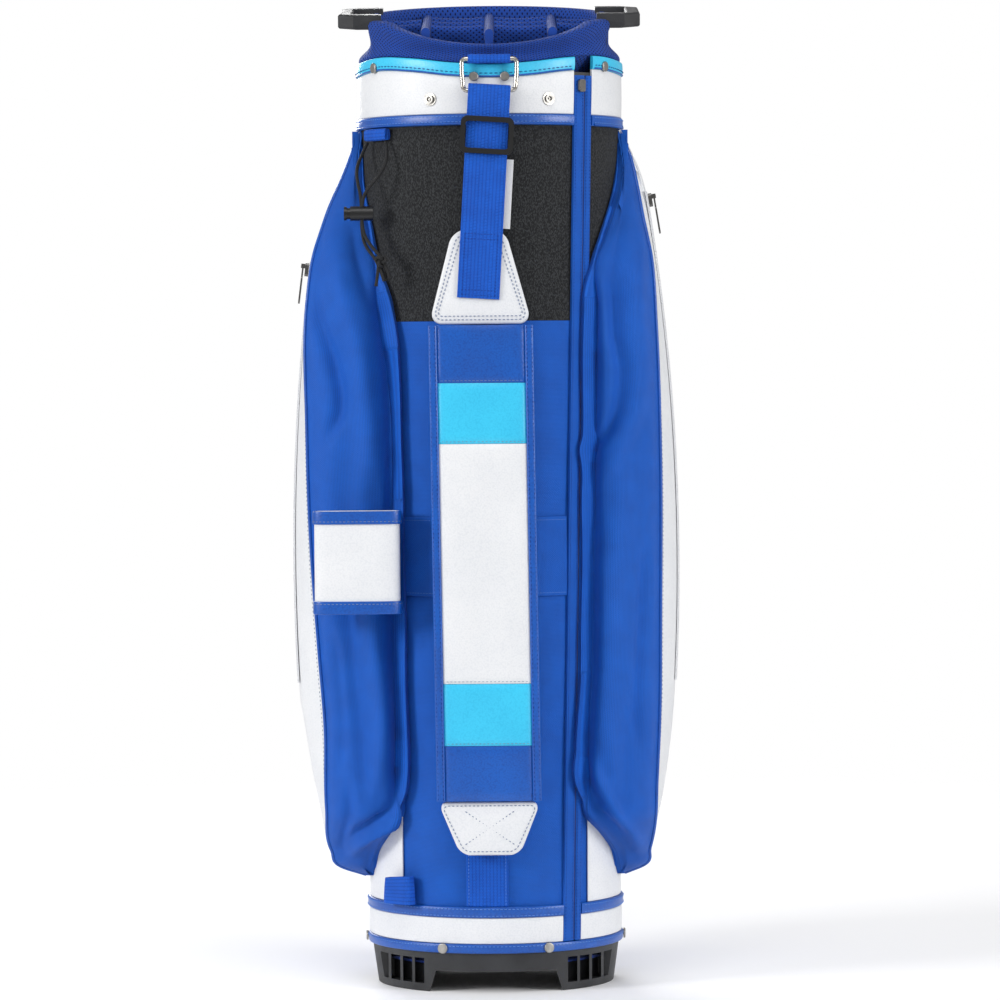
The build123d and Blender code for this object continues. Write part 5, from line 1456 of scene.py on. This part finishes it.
def front_pocket(tag, half, low, high, reach, stands_for):
    """A pocket round the back of the bag: its blue body, a white panel laid on its face, and piping round that."""
    x, z, foot, y = front_grid(half, low, high, reach)
    sag = 0.9 * np.sin(z / 31 + 1) * np.sin(x / 27) * step(y - foot, 5, 30) * (np.abs(y - reach) > 1.5)
    face = spread(x, y - 0.3 + np.minimum(sag, 0), z)
    rear = spread(x * 0.985, np.maximum(y - 2.2, foot * 0.999), z)
    shell(f"{tag}_pocket_body", two_sided(face, rear), blue_cloth, stands_for=stands_for, smooth=50)
    slim, top = half - 11, (ZIP_PLACE[tag] - 14)
    bottom = low + 26
    t = np.linspace(0, 2 * np.pi, 260, endpoint=False)
    power = 0.28
    edge_x = np.sign(np.cos(t)) * np.abs(np.cos(t)) ** power * slim
    edge_z = (top + bottom) / 2 + np.sign(np.sin(t)) * np.abs(np.sin(t)) ** power * (top - bottom) / 2
    r = np.concatenate([np.linspace(0.0004, 0.985, 30), [0.993, 1.0]])[:, None]
    px, pz = edge_x * r, (top + bottom) / 2 + (edge_z - (top + bottom) / 2) * r
    lift = reach - 0.1 + 0.9 * np.sqrt(np.clip(1 - r**18, 0, 1)) + 0.12 * np.sin(px / 17) * np.sin(pz / 23)
    panel = spread(px, lift, pz)
    under = spread(px, reach - 0.9 + 0 * px, pz)
    rings = np.concatenate([panel, under[::-1]], axis=0).transpose(1, 0, 2)
    shell(f"{tag}_pocket_panel", rings, white_coated, loop=True)
    line = spread(edge_x, np.full(len(t), reach + 0.3), edge_z)
    shell(f"{tag}_pocket_piping", round_along(line, 1.2, (0, 1, 0), 8), blue_coated, loop=True)
    inner = spread(
        edge_x * 0.955, np.full(len(t), reach + 0.85), (top + bottom) / 2 + (edge_z - (top + bottom) / 2) * 0.965,
    )
    stitches(f"{tag}_pocket_stitches", [(inner, (0, 1, 0))], white_thread, length=2.2, thick=0.5, pitch=3.8)


front_pocket("ball", 91.0, 105.0, 430.0, 190.0, ("ball_pocket",))
front_pocket("valuables", 78.0, 446.0, 735.0, 166.0, ("valuables_pocket",))


def front_zips():
    """Straight zips across the two pockets: tapes with a groove for the coil."""
    tapes, coils = [], []
    for z, reach, half in ((385.0, 190.0, 72.0), (690.0, 166.0, 56.0)):
        w = np.array([-6, -5.7, -4, -1.2, -0.8, 0.8, 1.2, 4, 5.7, 6])
        off = np.array([0.25, 1.0, 1.35, 1.3, 0.6, 0.6, 1.3, 1.35, 1.0, 0.25])
        x = np.linspace(-half, half, 60)[:, None]
        face = spread(x + 0 * w, reach + off + 0 * x, z + w + 0 * x)
        rear = spread(x + 0 * w, reach - 0.9 + 0 * x + 0 * w, z + w + 0 * x)
        tapes.append(two_sided(face, rear))
        run = np.linspace(-half + 1, half - 1, 400)
        path = spread(run, np.full(400, reach + 0.75), np.full(400, z))
        coils.append(round_along(path, 0.5 + 0.14 * np.sin(run * 3.7), (0, 1, 0), 6))
    several("front_zip_tapes", tapes, tape_cloth, stands_for=("front_zips",))
    several("front_zip_coils", coils, coil_plastic)


front_zips()


# ---------------------------------------------------------------- floor, light and camera
def studio():
    """A flat square of white paper under the bag. It is solid within 0.9 m of the middle and fades out evenly by
    1.9 m, so that no edge of it shows from any side."""
    x = np.linspace(-2.2, 2.2, 3)
    points = np.stack(np.broadcast_arrays(x[None], x[:, None], 0.0), -1)
    i, j = quads(3, 3, False, False)
    mesh = bpy.data.meshes.new("studio_floor")
    mesh.from_pydata(points.reshape(-1, 3), [], (i * 3 + j).tolist())
    paper, g, shader, _, where = finish_of("White studio paper")
    tone = g.use(BLOTCH, Place=where, Size=1.5, Low=0.0, High=1.0)["Value"]
    g.put(shader.inputs["Base Color"], g.mix(tone, linear(247, 247, 248), linear(250, 250, 251)))
    away = g.node("ShaderNodeVectorMath", (where,), operation="LENGTH").outputs["Value"]
    g.put(shader.inputs["Alpha"], g.ramp(away, 0.9, 1.9, 1.0, 0.0))
    shader.inputs["Roughness"].default_value = 0.85
    mesh.materials.append(paper)
    obj = bpy.data.objects.new("studio_floor", mesh)
    bpy.context.scene.collection.objects.link(obj)


def soft_light(name, place_, aim, size, power):
    """A square soft box at a place, facing a point."""
    lamp = bpy.data.lights.new(name, "AREA")
    lamp.shape, lamp.size, lamp.energy = "SQUARE", size, power
    obj = bpy.data.objects.new(name, lamp)
    obj.location = place_
    obj.rotation_euler = (Vector(aim) - Vector(place_)).to_track_quat("-Z", "Y").to_euler()
    bpy.context.scene.collection.objects.link(obj)


studio()
soft_light("key_light", (-2.7, -1.5, 1.3), (0, 0, 0.45), 0.9, 58)
soft_light("fill_light", (2.7, -1.6, 1.1), (0, 0, 0.42), 0.9, 48)
soft_light("top_light", (0.0, -1.4, 2.4), (0, 0, 0.5), 1.2, 16)
soft_light("back_light", (-0.7, 2.9, 1.5), (0, 0, 0.45), 1.3, 58)
world = bpy.data.worlds.new("Studio air")
world.use_nodes = True
air = Graph(world.node_tree)
lit, seen = world.node_tree.nodes["Background"], air.node("ShaderNodeBackground")
for side, strength in ((lit, 0.4), (seen, 1.0)):
    side.inputs["Color"].default_value = (1, 1, 1, 1)
    side.inputs["Strength"].default_value = strength
by_eye = air.node("ShaderNodeLightPath").outputs["Is Camera Ray"]
blend = air.node("ShaderNodeMixShader", (by_eye, lit.outputs[0], seen.outputs[0]))
world.node_tree.links.new(blend.outputs[0], world.node_tree.nodes["World Output"].inputs["Surface"])
bpy.context.scene.world = world
bpy.context.scene.view_settings.view_transform = "Standard"


CAMERA_AWAY, CAMERA_HIGH, AIM_HIGH, CAMERA_ASIDE = 4.2, 0.571, 0.432, 0.0066
VIEW_WIDTH, CAMERA_ROLL = 0.9, -0.44  # metres across the picture at the tube's axis, and degrees


def studio_camera():
    """Long-lens camera before the tube's axis, a little above the bag's middle, tipped down and slightly rolled."""
    camera = bpy.data.cameras.new("camera")
    camera.sensor_width = 36.0
    camera.lens = 36.0 * CAMERA_AWAY / VIEW_WIDTH
    obj = bpy.data.objects.new("camera", camera)
    x, y = axis_place[0] + CAMERA_ASIDE, axis_place[1]
    obj.location = (x, y - CAMERA_AWAY, CAMERA_HIGH)
    look = (Vector((x, y, AIM_HIGH)) - obj.location).to_track_quat("-Z", "Y")
    obj.rotation_euler = (look @ Quaternion((0, 0, 1), np.radians(CAMERA_ROLL))).to_euler()
    bpy.context.scene.collection.objects.link(obj)
    bpy.context.scene.camera = obj


studio_camera()

bpy.context.view_layer.update()
